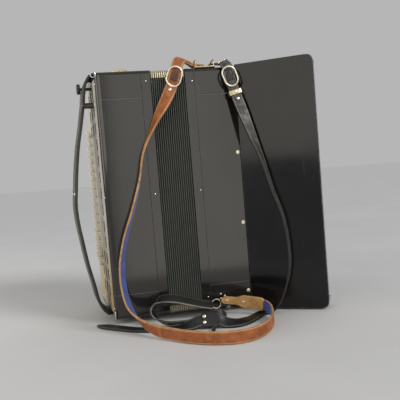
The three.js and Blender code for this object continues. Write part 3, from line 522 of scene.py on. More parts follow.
def repeat_tree():
    """Geometry Nodes: one piece at every point, turned to the point's out and along, each a
    little larger or smaller."""
    tree = bpy.data.node_groups.new("repeat_piece", "GeometryNodeTree")
    for name, kind in (("Points", "Geometry"), ("Piece", "Object"), ("Finish", "Material"),
                       ("Smallest", "Float"), ("Largest", "Float")):
        tree.interface.new_socket(name, in_out="INPUT", socket_type="NodeSocket" + kind)
    tree.interface.new_socket("Geometry", in_out="OUTPUT", socket_type="NodeSocketGeometry")
    start = add(tree, "NodeGroupInput").outputs
    out, along = (add(tree, "GeometryNodeInputNamedAttribute", {"Name": name},
                      data_type="FLOAT_VECTOR") for name in ("out", "along"))
    upright = add(tree, "FunctionNodeAlignRotationToVector", {"Vector": out}, axis="Z")
    turn = add(tree, "FunctionNodeAlignRotationToVector", {
        "Rotation": upright, "Vector": along,
    }, axis="X", pivot_axis="Z")
    size = add(tree, "FunctionNodeRandomValue", {2: start["Smallest"], 3: start["Largest"], 8: 7})
    shape = add(tree, "GeometryNodeObjectInfo", {"Object": start["Piece"]})
    spread = add(tree, "GeometryNodeInstanceOnPoints", {
        "Points": start["Points"], "Instance": shape.outputs["Geometry"],
        "Rotation": turn, "Scale": size.outputs[1],
    })
    real = add(tree, "GeometryNodeRealizeInstances", {0: spread})
    finished = add(tree, "GeometryNodeSetMaterial", {"Geometry": real, "Material": start["Finish"]})
    add(tree, "NodeGroupOutput", {0: finished})
    return tree


REPEAT = repeat_tree()
SOCKETS = {item.name: item.identifier for item in REPEAT.interface.items_tree
           if item.in_out == "INPUT"}


def repeated(name, shape, points, material, body, sizes=(1.0, 1.0), replaces=()):
    """A piece made of one small shape at many (place, out, along) points."""
    mesh = bpy.data.meshes.new("points")
    mesh.from_pydata([tuple(p[0]) for p in points], [], [])
    for index, key in ((1, "out"), (2, "along")):
        attribute = mesh.attributes.new(key, "FLOAT_VECTOR", "POINT")
        attribute.data.foreach_set("vector", [c for p in points for c in p[index]])
    carrier, sample = shown("points", mesh), shown("sample", shape)
    modifier = carrier.modifiers.new("repeat", "NODES")
    modifier.node_group = REPEAT
    for key, value in (("Piece", sample), ("Finish", material), ("Smallest", sizes[0]),
                       ("Largest", sizes[1])):
        modifier[SOCKETS[key]] = value
    mesh = result(carrier)
    bpy.data.objects.remove(sample)
    for key in ("out", "along"):
        if key in mesh.attributes:
            mesh.attributes.remove(mesh.attributes[key])
    return piece(name, mesh, [material], body, replaces)


def place(matrix, *spot):
    return matrix @ Vector(spot)


def pointed(matrix, spot, out, along=(0, 0, 1)):
    """A (place, out, along) point in one of the part's frames."""
    turn = matrix.to_3x3()
    return (place(matrix, *spot), *((turn @ Vector(way)).normalized() for way in (out, along)))


def rivet_shape(radius, height):
    """A domed rivet head, its foot at the origin and its axis on Z."""
    return lathed([(0, -0.4), (radius, -0.4), (radius, 0.1), (radius * 0.93, height * 0.5),
                   (radius * 0.72, height * 0.8), (radius * 0.4, height * 0.96),
                   (0, height)], 16)


def screw_shape(radius):
    """A countersunk screw head with its slot."""
    head = lathed([(0, -0.6), (radius, -0.6), (radius, 0.15), (radius * 0.8, 0.4),
                   (radius * 0.4, 0.52), (0, 0.55)], 20)
    return bored(head, block((-radius * 1.1, -0.3, 0.2), (radius * 1.1, 0.3, 1.2), SHAPE))


def rivets(name, points, radius, height, metal=None, body=TREBLE):
    """Rivets, pins or studs of one size, in pale nickel unless a metal is named."""
    repeated(name, rivet_shape(radius, height), points, metal or pale_nickel, body)


# Casings, frames, board and keys

# How thick the celluloid and wood of the casings count as their outside.
WALL, FRONT_RIM, END_WALL, CREASE_WALL = 4, 20, 3.5, 3
# The bass plate's pierced field.
PLATE_BACK, PLATE_FRONT, SLOTS_Y, SLOTS_Z = 1.0, -0.9, (20, 165), (30, 410)
# Where a key changes from one material to the next: three places in the board's frame, two in
# the body's.
TOP_Y, TOP_X, ARM_X, ARM_END, PALLET_END = 39.65, -5, -34.2, 179.7, 177.2


def casing_number(center):
    """0 celluloid outside, 1 bare wood inside, 2 metal feet."""
    spot = IN_BODY @ center
    if spot.z < BODY_LOW - 0.1:
        return 2
    end = spot.x * math.cos(END_SLOPE) + spot.y * math.sin(END_SLOPE)
    return int(WALL < spot.y < BODY_DEPTH - FRONT_RIM
               and BODY_LOW + WALL < spot.z < BODY_TOP - WALL
               and end > END_WALL and spot.x < CREASE_X - CREASE_WALL)


def plate_number(center):
    """0 cream face, 1 walls of the slots and button holes, painted black as their shade."""
    spot = IN_END @ center
    return int(PLATE_FRONT < spot.x < PLATE_BACK and SLOTS_Y[0] < spot.y < SLOTS_Y[1]
               and SLOTS_Z[0] < spot.z < SLOTS_Z[1])


def key_number(center):
    """0 key top, 1 wooden lever, 2 steel arm, 3 felt of the pallet."""
    spot = IN_BODY @ center
    over = IN_BOARD @ center
    if over.y > TOP_Y and over.x > TOP_X:
        return 0
    if spot.x < PALLET_END:
        return 3
    return 2 if over.x < ARM_X and spot.x > ARM_END else 1


sides = (("bass", BASS, 1.6), ("treble", TREBLE, 0.5))
for side, body, width in sides:
    dressed(f"{side}_casing", f"{side}_casing_shell", body,
            [celluloid, wood, pale_nickel, edge_celluloid], width, 3, 40, 3,
            casing_number)
for side, body, _ in sides:
    dressed(f"{side}_bellows_frame", f"{side}_frame", body, [frame_celluloid, edge_celluloid],
            0.5, 2, 60, 1)
dressed("treble_grille", "grille_shell", TREBLE, [grille_celluloid, edge_celluloid], 0.7,
        2, 40, 1)
dressed("keyboard_board", "board_shell", TREBLE, [board_celluloid, board_edge], 2.6,
        4, 40, 1)
dressed("bass_plate", "pierced_plate", BASS, [cream, slot_shade], 0.25, 2, 40, -1,
        plate_number)
frame["nodes"]["key_axle"].material_slots[0].material = steel

for shade, name, top, cut_up, count in (("white", "ivory", ivory, 39.6, 20),
                                        ("black", "ebony", ebony, 40.0, 14)):
    for i in range(1, count + 1):
        node = f"{shade}_key_{i:02d}"
        # The eight-sided bore for the axle has 45 degree corners, which stay sharp.
        dressed(node, f"{name}_{i:02d}", f"{node}_body", [top, key_wood, steel, felt], 0.6,
                2, 47, -1, key_number, cut_up)


def gauze_line(inset):
    """Points just behind the grille, as its source draws its curve."""
    start = IN_BODY @ place(BOARD, -inset, 46, 0)
    middle = Vector((CREASE_X + 26 - inset, BODY_DEPTH - inset, 0))
    end = Vector((TREBLE_X, BODY_DEPTH - inset, 0))
    shares = [0.34 + 0.62 * i / 12 for i in range(13)]
    return [start * (1 - t) ** 2 + middle * 2 * t * (1 - t) + end * t * t for t in shares]


# The cloth is glued behind the grille's windows, a closed thin sheet.
gauze_ring = gauze_line(3.0) + gauze_line(3.4)[::-1]
piece("grille_gauze", lofted([[(p.x, p.y, z) for p in gauze_ring] for z in (22, 418)], BODY),
      [gauze], TREBLE)
rivets("bass_frame_pins", [pointed(BODY, (84, 0, z), (0, -1, 0)) for z in (411, 219.2, 32)],
       1.35, 0.7, chrome, BASS)
rivets("treble_frame_pins", [pointed(BODY, (x, 0, z), (0, -1, 0)) for x, z in (
    (163, 407.4), (163, 219.4), (161.5, 31.9))], 1.35, 0.7, chrome)
repeated("board_screws", screw_shape(3.4),
         [pointed(BODY, (234.6, 0, z), (0, -1, 0), (0.6, 0, 0.8)) for z in (280.2, 156.6, 34.8)],
         pale_nickel, TREBLE)


# Bellows


def ring_loop(depth, x):
    """Points of the body outline at one x, set in by a depth."""
    radius = max(8 - depth * 0.35, 1.5)
    low_y, high_y = depth + radius, BODY_DEPTH - depth - radius
    low_z, high_z = BODY_LOW + depth + radius, BODY_TOP - depth - radius
    corners = (high_y, high_z), (low_y, high_z), (low_y, low_z), (high_y, low_z)
    return [(x, y + radius * c, z + radius * s) for quarter, (y, z) in enumerate(corners)
            for c, s in arc(quarter, quarter + 1, 5)]


FOLD_PITCH = (BELLOWS_X[1] - BELLOWS_X[0]) / FOLDS
FOLD_MIDDLES = [BELLOWS_X[0] + FOLD_PITCH * (fold + 0.5) for fold in range(FOLDS)]


def bellows_mesh():
    """Pleats of cloth over card: rounded ridges outside, deep valleys, an inner skin."""
    half = FOLD_PITCH / 2
    outer, inner = [(BELLOWS_X[0], 21, 0)], [(BELLOWS_X[0], 24.5, 0)]
    for middle in FOLD_MIDDLES:
        outer += [(middle + half * share, depth, edge) for share, depth, edge in (
            (-0.62, 4, 0.2), (-0.36, 1.5, 0.8), (0, 0.9, 1), (0.36, 1.5, 0.8), (0.62, 4, 0.2),
            (1, 21, 0))]
        inner += [(middle, 6.5, 0), (middle + half, 24.5, 0)]
    rows = outer + inner[::-1]
    rings = [ring_loop(depth, x) for x, depth, _ in rows]
    edges = [edge for _, _, edge in rows for _ in rings[0]]
    return lofted(rings, BODY, "joined", marks=("fold_edge", edges))


def opening_fold(obj):
    """The piece with its place baked into its points, tied to neither end."""
    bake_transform(obj)


folds = piece("bellows_folds", bellows_mesh(), [cloth], None, ("bellows",), 50)
opening_fold(folds)


def corner_clip():
    """A nickel cap folded over one ridge at a rounded corner."""
    rows = []
    for share, depth in ((0.7, 4.2), (0.62, 2.4), (0.36, 0.9), (0, 0.4), (-0.36, 0.9),
                         (-0.62, 2.4), (-0.7, 4.2)):
        radius = 8 - depth * 0.35
        row = [[-depth - radius + radius * c, -depth - radius + radius * s]
               for c, s in arc(0, 1, 8)]
        # The legs of the cap run on past the corner.
        row[0][1] -= 6
        row[-1][0] -= 6
        rows.append([(FOLD_PITCH / 2 * share, y, z) for y, z in row])
    cap = lofted(rows, ends="open", around=False)
    return outward(worked(cap, "SOLIDIFY", thickness=0.35 * MM, offset=-1))


clip_places = [(place(BODY, x, y, z), out, (1, 0, 0)) for y, z, out in (
    (BODY_DEPTH, BODY_TOP, (0, 0, 1)), (0, BODY_TOP, (0, -1, 0)), (0, BODY_LOW, (0, 0, -1)),
    (BODY_DEPTH, BODY_LOW, (0, 1, 0))) for x in FOLD_MIDDLES]
clips = repeated("bellows_corner_clips", corner_clip(), clip_places, pale_nickel, None)
opening_fold(clips)


# Bass end

# Each row's place along the plate and its lowest button.
ROW_ALONG = [111.9 + 13 * row for row in range(5)]
ROW_LOW = [93.6 + 3.2 * row for row in range(5)]
BUTTONS, BUTTON_PITCH, BED_REACH, BUTTON_HOLE = 16, 16, 4.3, 3.9
AIR_SPOT, KNOB_SPOT = (25.9, 377.9), (61.5, 412.4)
button = lathed([(0, -2), (3.6, -2), (3.6, 5.9), (3.4, 6.5), (3, 6.85), (1.8, 7), (0, 7)], 16)
for row in range(5):
    node = f"bass_button_row_{row + 1}"
    spots = [pointed(END, (0, ROW_ALONG[row], ROW_LOW[row] + BUTTON_PITCH * i), (-1, 0, 0))
             for i in range(BUTTONS)]
    repeated(f"cream_buttons_{row + 1}", button.copy(), spots, button_cream, f"{node}_body",
             replaces=(node,))


def button_bed(low, along):
    """The strip of the plate between the buttons of one row, with a round hole for each."""
    cells = []
    for i in range(BUTTONS):
        middle = low + BUTTON_PITCH * i
        under = BED_REACH if i == 0 else BUTTON_PITCH / 2
        over = BED_REACH if i == BUTTONS - 1 else BUTTON_PITCH / 2
        edge, hole = [], []
        for c, s in circle(16, 0.5):
            scale = 1 / max(abs(c), abs(s))
            edge.append((along + BED_REACH * c * scale,
                         middle + (over if s > 0 else under) * s * scale))
            hole.append((along + BUTTON_HOLE * c, middle + BUTTON_HOLE * s))
        cells.append(lofted([[(x, *spot) for spot in ring] for x, ring in (
            (-1, edge), (-1, hole), (1, hole), (1, edge))], END, "joined"))
    return outward(joined(cells))


piece("bass_button_bed", joined(list(map(button_bed, ROW_LOW, ROW_ALONG))), [cream], BASS,
      (), 30)
air = lathed([(0, -4.8), (7.8, -4.8), (7.8, -2.8), (4.8, -2.6), (4.8, 19.6), (4.5, 21),
              (3.6, 21.8), (2, 22), (0, 22)], 28)
piece("air_button_shell", set_at(air, END, (0, *AIR_SPOT), (-1, 0, 0)), [plastic],
      "air_button_body", ("air_button",))
collar = lathed([(5.6, 0), (8.4, 0), (8.4, 0.65), (7.75, 1.3), (5.925, 1.3), (5.6, 0.975)], 28,
                "joined")
piece("air_button_collar", set_at(collar, END, (-1.3, *AIR_SPOT), (-1, 0, 0)), [nickel],
      BASS)
knob = lathed([(0, -20.9), (2.5, -20.9), (2.6, -20), (2.6, 0), (8, 0), (8.8, 0.7), (9, 1.6),
               (9, 4.2), (8.6, 5.2), (7.6, 5.9), (5.4, 6), (3.2, 5.7), (0, 5.6)], 112,
              flutes=14, depth=0.07)
piece("strap_knob_turned", set_at(knob, END, (-19.6, *KNOB_SPOT), (-1, 0, 0)), [plastic],
      "strap_knob_body", ("strap_knob",))
wheel = lathed([(0, -5), (3, -5), (3, 0), (11.6, 0), (12.3, 0.6), (12.3, 3.4), (11.6, 4),
                (9.8, 4), (9.2, 3.5), (5, 3.5), (4.4, 4), (0, 4)], 176, flutes=44, depth=0.04)
piece("adjuster_wheel_milled", set_at(wheel, BODY, (42, 24, 430.3), (0, 0, 1), (1, 0, 0)),
      [brass], "adjuster_wheel_body", ("strap_adjuster_wheel",), 30)
studs = [pointed(END, (-0.1, 3.4, z), (-1, -0.4, 0)) for z in (21.9, 12.6)]
studs += [pointed(END, (-0.1, y, z), (-1, 0, 0)) for y in (5.8, 177) for z in (30, 220, 410)]
rivets("bass_end_studs", studs, 2.1, 1.2, chrome, BASS)
corner_cap = block((-1.2, -0.4, 10.5), (0.6, 9, 26), END, 0.5)
piece("bass_corner_cap", corner_cap, [chrome], BASS)
end_clamp = block((-8.6, 35, 13.2), (-0.4, 88, 17.4), END, 0.8)
piece("hand_strap_clamp", end_clamp, [steel_black], BASS)
eyelet = [(-2.6 + 4.2 * c, -0.7, 424.6 + 4.2 * s) for c, s in circle(20)]
piece("corner_eyelet", wire(eyelet, 0.7, 8, True), [chrome], BASS)


# Leather bands


def path(stations, step):
    """A smooth curve in even steps through stations of a place and the way across. Each step
    has its own square axes: place, along, side, up, distance."""
    knots = [Vector(station) for station in stations]
    gaps = [(Vector(b[:3]) - Vector(a[:3])).length for a, b in zip(knots, knots[1:])]
    rises = [(b - a) / gap for a, b, gap in zip(knots, knots[1:], gaps)]
    slopes = [(rises[i - 1] * gaps[i] + rises[i] * gaps[i - 1]) / (gaps[i] + gaps[i - 1])
              for i in range(1, len(gaps))]
    slopes = [rises[0], *slopes, rises[-1]]
    samples, distance = [], 0.0
    for i, gap in enumerate(gaps):
        count = max(1, round(gap / step))
        for k in range(count + (i == len(gaps) - 1)):
            t = k / count
            at = (knots[i] * (2 * t ** 3 - 3 * t * t + 1)
                  + slopes[i] * ((t ** 3 - 2 * t * t + t) * gap)
                  + knots[i + 1] * (3 * t * t - 2 * t ** 3)
                  + slopes[i + 1] * ((t ** 3 - t * t) * gap))
            spot = Vector(at[:3])
            distance += (spot - samples[-1][0]).length if samples else 0
            samples.append((spot, Vector(at[3:]), distance))
    frames = []
    for i, (spot, across, distance) in enumerate(samples):
        before, after = samples[max(i - 1, 0)][0], samples[min(i + 1, len(samples) - 1)][0]
        along = (after - before).normalized()
        side = (across - along * across.dot(along)).normalized()
        frames.append((spot, along, side, along.cross(side), distance))
    return frames


# Across share, height share and part of each rib of a band's section: its up face, down face
# and rounded edges are parts 0, 1 and 2.
SECTION = [(-1, -0.18, 2), (-0.985, 0.6, 2), (-0.93, 1, 0), (-0.72, 1, 0), (-0.3, 1, 0),
           (0.3, 1, 0), (0.72, 1, 0), (0.93, 1, 2), (0.985, 0.6, 2), (1, -0.18, 2),
           (0.985, -0.65, 2), (0.93, -1, 1), (0.5, -1, 1), (-0.5, -1, 1), (-0.93, -1, 2),
           (-0.985, -0.65, 2)]


def band(frames, width, thickness, shape=None, lift=0.0, crown=0.2, parts=(0, 1, 2),
         matrix=BODY):
    """A leather band, with a material number for each part of its section. The shape gives a
    width share for each distance gone and distance left."""
    first, last = frames[0][4], frames[-1][4]
    rows = []
    for spot, _, side, up, distance in frames:
        share = shape(distance - first, last - distance) if shape else 1.0
        row = []
        for s, t, _ in SECTION:
            bulge = crown * (1 - s * s) * t if abs(t) == 1 else 0
            point = spot + side * (s * width / 2 * share) + up * (
                t * thickness / 2 + bulge + lift)
            # A band that lies on the floor is pressed flat by it.
            point.z = max(point.z, 0.2 + 0.05 * t)
            row.append(point)
        rows.append(row)
    numbers = [parts[part] for _, _, part in SECTION] * (len(rows) - 1) + [parts[2]] * 2
    sides = [abs(s) * width / 2 for s, _, _ in SECTION] * len(rows)
    return lofted(rows, matrix, numbers=numbers, marks=("across_mm", sides))


def cut(frames, start, end):
    """The frames between two distances."""
    return [f for f in frames if start <= f[4] <= end]


def tapered(tail, head, least):
    """A width share that narrows to a rounded point at the tail, the head or both."""
    def share(gone, left):
        ends = [room / reach for room, reach in ((left, tail), (gone, head)) if room < reach]
        return min([1.0] + [least + (1 - least) * math.sin(math.pi / 2 * end) ** 0.8
                            for end in ends])
    return share


def stitch_shape(length=2.4, radius=0.34):
    """One waxed stitch, sunk at both ends, along X."""
    rows = []
    for t in (0, 0.25, 0.5, 0.75, 1):
        bow = math.sin(math.pi * t)
        fat = radius * (0.35 + 0.65 * bow)
        rows.append([((t - 0.5) * length, fat * c, fat * s + 0.1 * bow) for c, s in circle(6)])
    return lofted(rows)


def stitch_points(frames, inset, height, face, pitch=3.4, matrix=BODY):
    """Stitches at both sides of a band's middle, inset from it, on its up or down face."""
    points = []
    wanted = frames[0][4] + pitch
    for a, b in zip(frames, frames[1:]):
        while a[4] <= wanted < b[4]:
            t = (wanted - a[4]) / (b[4] - a[4])
            up = a[3].lerp(b[3], t).normalized() * face
            side = a[2].lerp(b[2], t).normalized()
            for s in (-1, 1):
                at = a[0].lerp(b[0], t) + side * (s * inset) + up * height
                points.append(pointed(matrix, at, up, a[1]))
            wanted += pitch
    return points


def nearest(frames, distance):
    """The step of a band that is nearest to a distance along it."""
    return min(frames, key=lambda frame: abs(frame[4] - distance))


def spot_on(frames, distance, across, height, face=1, matrix=BODY):
    """A (place, out, along) point on a band."""
    spot, along, side, up, _ = nearest(frames, distance)
    return pointed(matrix, spot + side * across + up * (height * face), up * face, along)


def sleeve(frames, distance, length, width, deep, wall):
    """A keeper bent round a band: a rounded rectangular loop of one strip."""
    spot, along, side, up, _ = nearest(frames, distance)
    ring = [(math.copysign(abs(c) ** 0.35, c), math.copysign(abs(s) ** 0.35, s))
            for c, s in circle(32, 0.5)]
    rows = [[spot + along * (share * length) + side * (c * (width / 2 + wall * fat))
             + up * (s * (deep / 2 + wall * fat)) for c, s in ring]
            for share, fat in ((-0.5, 0.55), (-0.46, 1), (0.46, 1), (0.5, 0.55), (0.46, 0),
                               (-0.46, 0))]
    return lofted(rows, BODY, "joined")


# Hand strap

HAND_WIDE, HAND_DEEP = 54, 5
HAND_STRAP = [(x, KNOB_SPOT[0], z, 0, 1, 0) for x, z in (
    (22, 433.2), (9, 433.2), (0.5, 432.8), (-4.2, 430.4), (-7.4, 426), (-12.4, 416.6),
    (-18.3, 384.2), (-23.9, 354), (-33.3, 309), (-40, 264.1), (-43.1, 236.8), (-45.7, 209.9),
    (-44.7, 182.2), (-40, 144.8), (-34.7, 107.4), (-27, 68.8), (-19.8, 35.2), (-13.1, 21.8),
    (-6.9, 15.4))]
hand_path = path(HAND_STRAP, 4)
# The path runs down, so its down face is the one that looks out from the casing. Its edges are in
# the darker copy of the leather, as painted shade.
hand_band = band(hand_path, HAND_WIDE, HAND_DEEP, None, 0, 0.4, (2, 0, 1), END)
# The knob's shaft goes through the strap.
shaft = wire([(-30, *KNOB_SPOT), (-4, *KNOB_SPOT)], 3.4, 24, False, END)
hand_band = bored(painted(hand_band, [strap_grey, strap_edge_shade, black_leather]), shaft)
hand_face = -1 if hand_path[20][3].x > 0 else 1
piece("hand_strap_leather", hand_band, [], BASS, ("hand_strap",), 45)
repeated("hand_strap_stitches", stitch_shape(2.6, 0.36),
         stitch_points(cut(hand_path, 60, 440), 23.5, 2.6, hand_face, 3.6, END),
         raw_edge, BASS, (0.85, 1.1))
rivets("hand_strap_rivets", [spot_on(hand_path, distance, across, 2.6, hand_face, END)
                             for distance, across in ((10, 16), (232, 23), (452, 16))
                             for across in (-across, across)], 3.0, 1.4, None, BASS)


# Brackets and rings


def strap_loop(x):
    """A square wire loop that stands on the top bracket, its feet sunk in the plate."""
    points = [(x, y + 4.4 * c, 439 + 4.4 * s) for y, quarter in ((9, 2), (27, 1))
              for c, s in arc(quarter, quarter - 1, 6)]
    return wire([(x, 4.6, 431.4), *points, (x, 31.4, 431.4)], 1.3, 12)


top_plate = block((170.3, 3, 430.3), (206.3, 33, 432.7), BODY, 0.6)
top_bracket = joined([top_plate, strap_loop(172.5), strap_loop(204.1)])
piece("top_bracket_loops", top_bracket, [brass], TREBLE, ("top_strap_bracket",), 50)
repeated("top_bracket_screws", screw_shape(2.0),
         [pointed(BODY, (x, y, 432.7), (0, 0, 1), (0.7, 0.6, 0)) for x, y in (
             (177.5, 7), (177.5, 29), (199.5, 7), (199.5, 29))],
         brass, TREBLE)


def oval(center, lean, length=37, width=27, bead=1.7):
    """Points of an oval ring upright across the back, turned in its own plane."""
    half, radius = (length - width) / 2, width / 2 - bead
    turn = Matrix.Rotation(math.radians(lean), 3, "Y")
    spots = [(radius * c, 0, radius * s + (half if s > 0 else -half)) for c, s in circle(40)]
    return [Vector(center) + turn @ Vector(spot) for spot in spots]


BROWN_RING, BLACK_RING = (131, -16.05, 413), (226.5, -17.0, 409)
for name, center, lean, slot in (("brown", BROWN_RING, 22, "brass"),
                                 ("black", BLACK_RING, -18, "nickel")):
    piece(f"{name}_ring_wire", wire(oval(center, lean), 1.65, 12, True), [pale_nickel], TREBLE,
          (f"{name}_strap_ring",))

low_plate = block((167.3, -2.7, 23), (193.3, -0.3, 38), BODY, 0.6)
low_ring = [(173.8 + 8 * c, -3.35, 19 + 8 * s) for c, s in circle(32)]
piece("bottom_bracket_plate", low_plate, [steel_black], TREBLE,
      ("bottom_strap_bracket",))
piece("bottom_bracket_ring", wire(low_ring, 1.3, 10, True), [nickel], TREBLE)
repeated("bottom_bracket_screws", screw_shape(1.7),
         [pointed(BODY, (x, -2.7, z), (0, -1, 0), (0.5, 0, 0.8)) for x, z in (
             (183.5, 35), (183.5, 27), (190.5, 31))],
         pale_nickel, TREBLE)


# Shoulder straps and belt

BROWN = [
    (188, 18, 434.6, 0, 1, 0), (172.5, 18, 437, 0, 1, 0), (162, 16, 442.5, -0.2, 0.95, 0.25),
    (151, 8.5, 446, -0.5, 0.75, 0.45), (143, -3, 441.5, -0.75, 0.4, 0.6),
    (136.8, -10.8, 429, -0.9, 0.1, 0.45), (131, -12.2, 413, -0.93, 0, 0.36),
    (126.5, -12.6, 401, -0.93, 0, 0.36), (119.5, -14, 386, -0.88, 0.2, 0.38),
    (110, -16.5, 369, -0.75, 0.45, 0.35), (99, -19, 351, -0.5, 0.75, 0.25),
    (88, -22, 331, -0.25, 0.95, 0.1), (67.5, -26, 289, 0, 1, 0), (58.5, -28, 247, 0.1, 1, 0),
    (42, -32, 194, 0.25, 0.97, 0), (26, -36, 150, 0.35, 0.93, 0), (17, -42, 106, 0.42, 0.9, 0),
    (17, -48, 75, 0.42, 0.9, -0.05), (24, -56, 43, 0.4, 0.85, -0.25),
    (37, -67, 24, 0.3, 0.6, -0.7), (56, -88, 14, 0.1, 0.25, -1), (82, -116, 11.5, 0, 0.08, -1),
    (112, -143, 11, 0, 0.08, -1), (143, -160, 11, 0, 0.05, -1), (172, -166, 11, 0, 0, -1),
    (198, -160, 11, 0, 0, -1), (220, -143, 11, 0, 0, -1), (238, -116, 11, 0, 0, -1),
    (249, -86, 12, 0, 0, -1), (253, -62, 14.5, 0, 0, -1), (249, -46, 17.5, 0, 0.1, -1),
    (236, -35, 20, 0.05, 0.3, -1), (217.5, -25.5, 23, 0.05, 0.35, -1),
    (197, -17.5, 25.5, 0.05, 0.3, -1), (182, -12, 27, 0, 0.2, -1),
]
BLACK = [
    (196, 18, 434.6, 0, 1, 0), (206, 18, 436.5, 0, 1, 0), (213.5, 15, 438.7, 0.3, 0.9, 0.3),
    (219.5, 7, 438.5, 0.6, 0.65, 0.45), (223, -3, 433, 0.85, 0.3, 0.4),
    (225, -10, 422, 0.95, 0.05, 0.3), (226.5, -12.2, 409, 0.95, 0, 0.3),
    (229.5, -12.6, 397, 0.95, 0, 0.3), (233, -14, 384, 0.95, 0.05, 0.28),
    (239, -19, 361, 0.97, 0.1, 0.2), (246.5, -25, 332, 0.92, 0.3, 0.12),
    (254, -31, 303, 0.8, 0.55, 0.1), (262, -36, 276, 0.62, 0.78, 0.1),
    (278, -42.5, 212, 0.5, 0.87, 0), (292, -47, 163, 0.45, 0.87, 0),
    (297, -49, 122, 0.45, 0.87, 0), (296, -49.5, 78, 0.45, 0.87, 0),
    (287, -47, 42, 0.4, 0.87, 0.1), (275, -42, 18, 0.3, 0.9, 0.3), (262, -37, 5, 0.2, 0.97, 0.1),
    (245, -38, 2.4, -0.4, 0.9, 0), (228, -55, 2.6, -0.7, 0.7, 0.03),
    (210, -74, 4.8, -0.57, 0.8, 0.2), (189.6, -84, 5.8, 0, 0.93, 0.37),
    (170, -80, 8.5, 0, 0.72, 0.69), (162, -77.2, 13.2, 0, 0.55, 0.83),
    (148, -74.2, 13.5, 0, 0.55, 0.83), (134, -71.3, 13.2, 0, 0.55, 0.83),
    (120, -70, 8.5, 0, 0.72, 0.69), (104, -66.5, 4.4, 0.1, 0.95, 0.25),
    (70, -56, 2.4, 0.3, 0.95, 0), (33, -40, 2.4, 0.4, 0.92, 0), (0, -14, 2.4, 0.6, 0.8, 0),
    (-32, 13, 2.4, 0.64, 0.77, 0),
]
BELT = [
    (165.1, -12.5, 19.5, 0, 0.8, 0.6), (144, -14, 25, 0, 0.8, 0.6), (126.5, -16, 31, 0, 0.8, 0.6),
    (93, -18, 41, 0, 0.8, 0.6), (79, -20, 42, 0.25, 0.85, 0.45), (67, -23, 36, 0.5, 0.85, 0.2),
    (62, -27, 26, 0.6, 0.8, 0), (66, -32, 14.5, 0.4, 0.85, -0.3), (78, -40, 8, 0, 0.85, -0.5),
    (100, -45, 7, 0.05, 0.85, -0.5), (120, -47, 8.5, 0.1, 0.9, -0.4),
    (131, -47, 11, 0.1, 0.9, -0.3),
]
STRAP, STRAP_DEEP, BELT_WIDE, BELT_DEEP = 20, 3, 18, 2.6
TAN_END = 76
brown_path = path(BROWN, 3)
black_path = path(BLACK, 3)
belt_path = path(BELT, 2.5)


def along_to(frames, spot):
    """The distance along a band that comes nearest to a place."""
    return min(frames, key=lambda f: (f[0] - Vector(spot)).length)[4]


def strap_piece(name, frames, size, materials, shape=None, slot="black_leather", replaces=(),
                **form):
    """A leather band of (width, thickness) that rides with the treble side."""
    piece(name, band(frames, *size, shape, **form), materials, TREBLE, replaces, 45)


def waisted(gone, left):
    """The width share of the tan end: broad by the strap, and a narrow tab at the bracket."""
    narrow = 0.56 + 0.44 * min(max((left - 26) / 12, 0), 1)
    tip = 0.25 + 0.31 * math.sin(math.pi / 2 * left / 6) if left < 6 else 1
    return min(narrow, tip, 0.8 + gone / 20)


brown_long = brown_path[-1][4]
brown_main = cut(brown_path, 0, brown_long - TAN_END + 4)
brown_last = cut(brown_path, brown_long - TAN_END, brown_long)
# At the ring the brown strap's down face looks at the player, and blue cloth lines the other.
strap_piece("brown_strap_leather", brown_main, (STRAP, STRAP_DEEP), [brown, lining, raw_edge],
            tapered(5, 0, 0.6), "brown_leather", ("brown_shoulder_strap",), parts=(1, 0, 2))
strap_piece("brown_strap_tan_end", brown_last, (STRAP + 4, STRAP_DEEP + 1.4), [tan, raw_edge],
            waisted, "brown_leather", parts=(0, 0, 1))
strap_piece("brown_strap_doubled_end", cut(brown_path, 5, 66), (STRAP - 1, 2.4),
            [brown, raw_edge], tapered(10, 3, 0.5), "brown_leather", lift=2.9, parts=(0, 0, 1))
strap_piece("black_strap_leather", black_path, (STRAP, STRAP_DEEP),
            [grey_leather, black_leather, black_leather], tapered(26, 0, 0.2),
            replaces=("black_shoulder_strap",))
# The belt's rounded edges are in the paler grey leather, as a painted highlight along them.
strap_piece("lower_belt_leather", belt_path, (BELT_WIDE, BELT_DEEP),
            [black_leather, black_leather, grey_leather], tapered(8, 0, 0.5),
            replaces=("lower_belt",))
for name, frames, inset, height, face, thread, slot in (
        ("brown_strap", cut(brown_main, 6, brown_long), 8.6, STRAP_DEEP / 2 + 0.05, -1, tan,
         "brown_leather"),
        ("tan_end", cut(brown_last, 0, brown_long - 38), 9.4, 2.2, 1, raw_edge, "brown_leather"),
        ("black_strap", cut(black_path, 6, 800), 8.6, STRAP_DEEP / 2 + 0.05, 1, grey_leather,
         "black_leather")):
    repeated(name + "_stitches", stitch_shape(), stitch_points(frames, inset, height, face),
             thread, TREBLE, (0.85, 1.1))

# The brown strap's ring: a tongue inside it, and a riveted tab under it.
at_ring = along_to(brown_path, BROWN_RING)
strap_piece("brown_ring_tongue", cut(brown_path, at_ring - 16, at_ring + 9), (11.5, 1.9),
            [dark_brown], tapered(0, 10, 0.15), "brown_leather", lift=-2.5, crown=0.3)
strap_piece("brown_ring_tab", cut(brown_path, at_ring + 13, at_ring + 38), (16, 1.8),
            [brown, brown, raw_edge], tapered(11, 0, 0.15), "brown_leather", lift=-2.45)
spot, _, side, up, _ = cut(brown_path, at_ring + 14, at_ring + 17)[0]
roll = [spot + side * across + up * -2.2 for across in (-9, -6, 0, 6, 9)]
piece("brown_ring_roll", wire(roll, 2.1, 12), [tan], TREBLE, (), 45)
rivets("brown_strap_rivets", [spot_on(brown_path, at_ring + 25, 0, 3.3, -1)], 3.0, 1.5)
rivets("tan_end_rivets", [spot_on(brown_path, brown_long - left, 0, 2.3) for left in (38, 11)],
       2.9, 1.4)

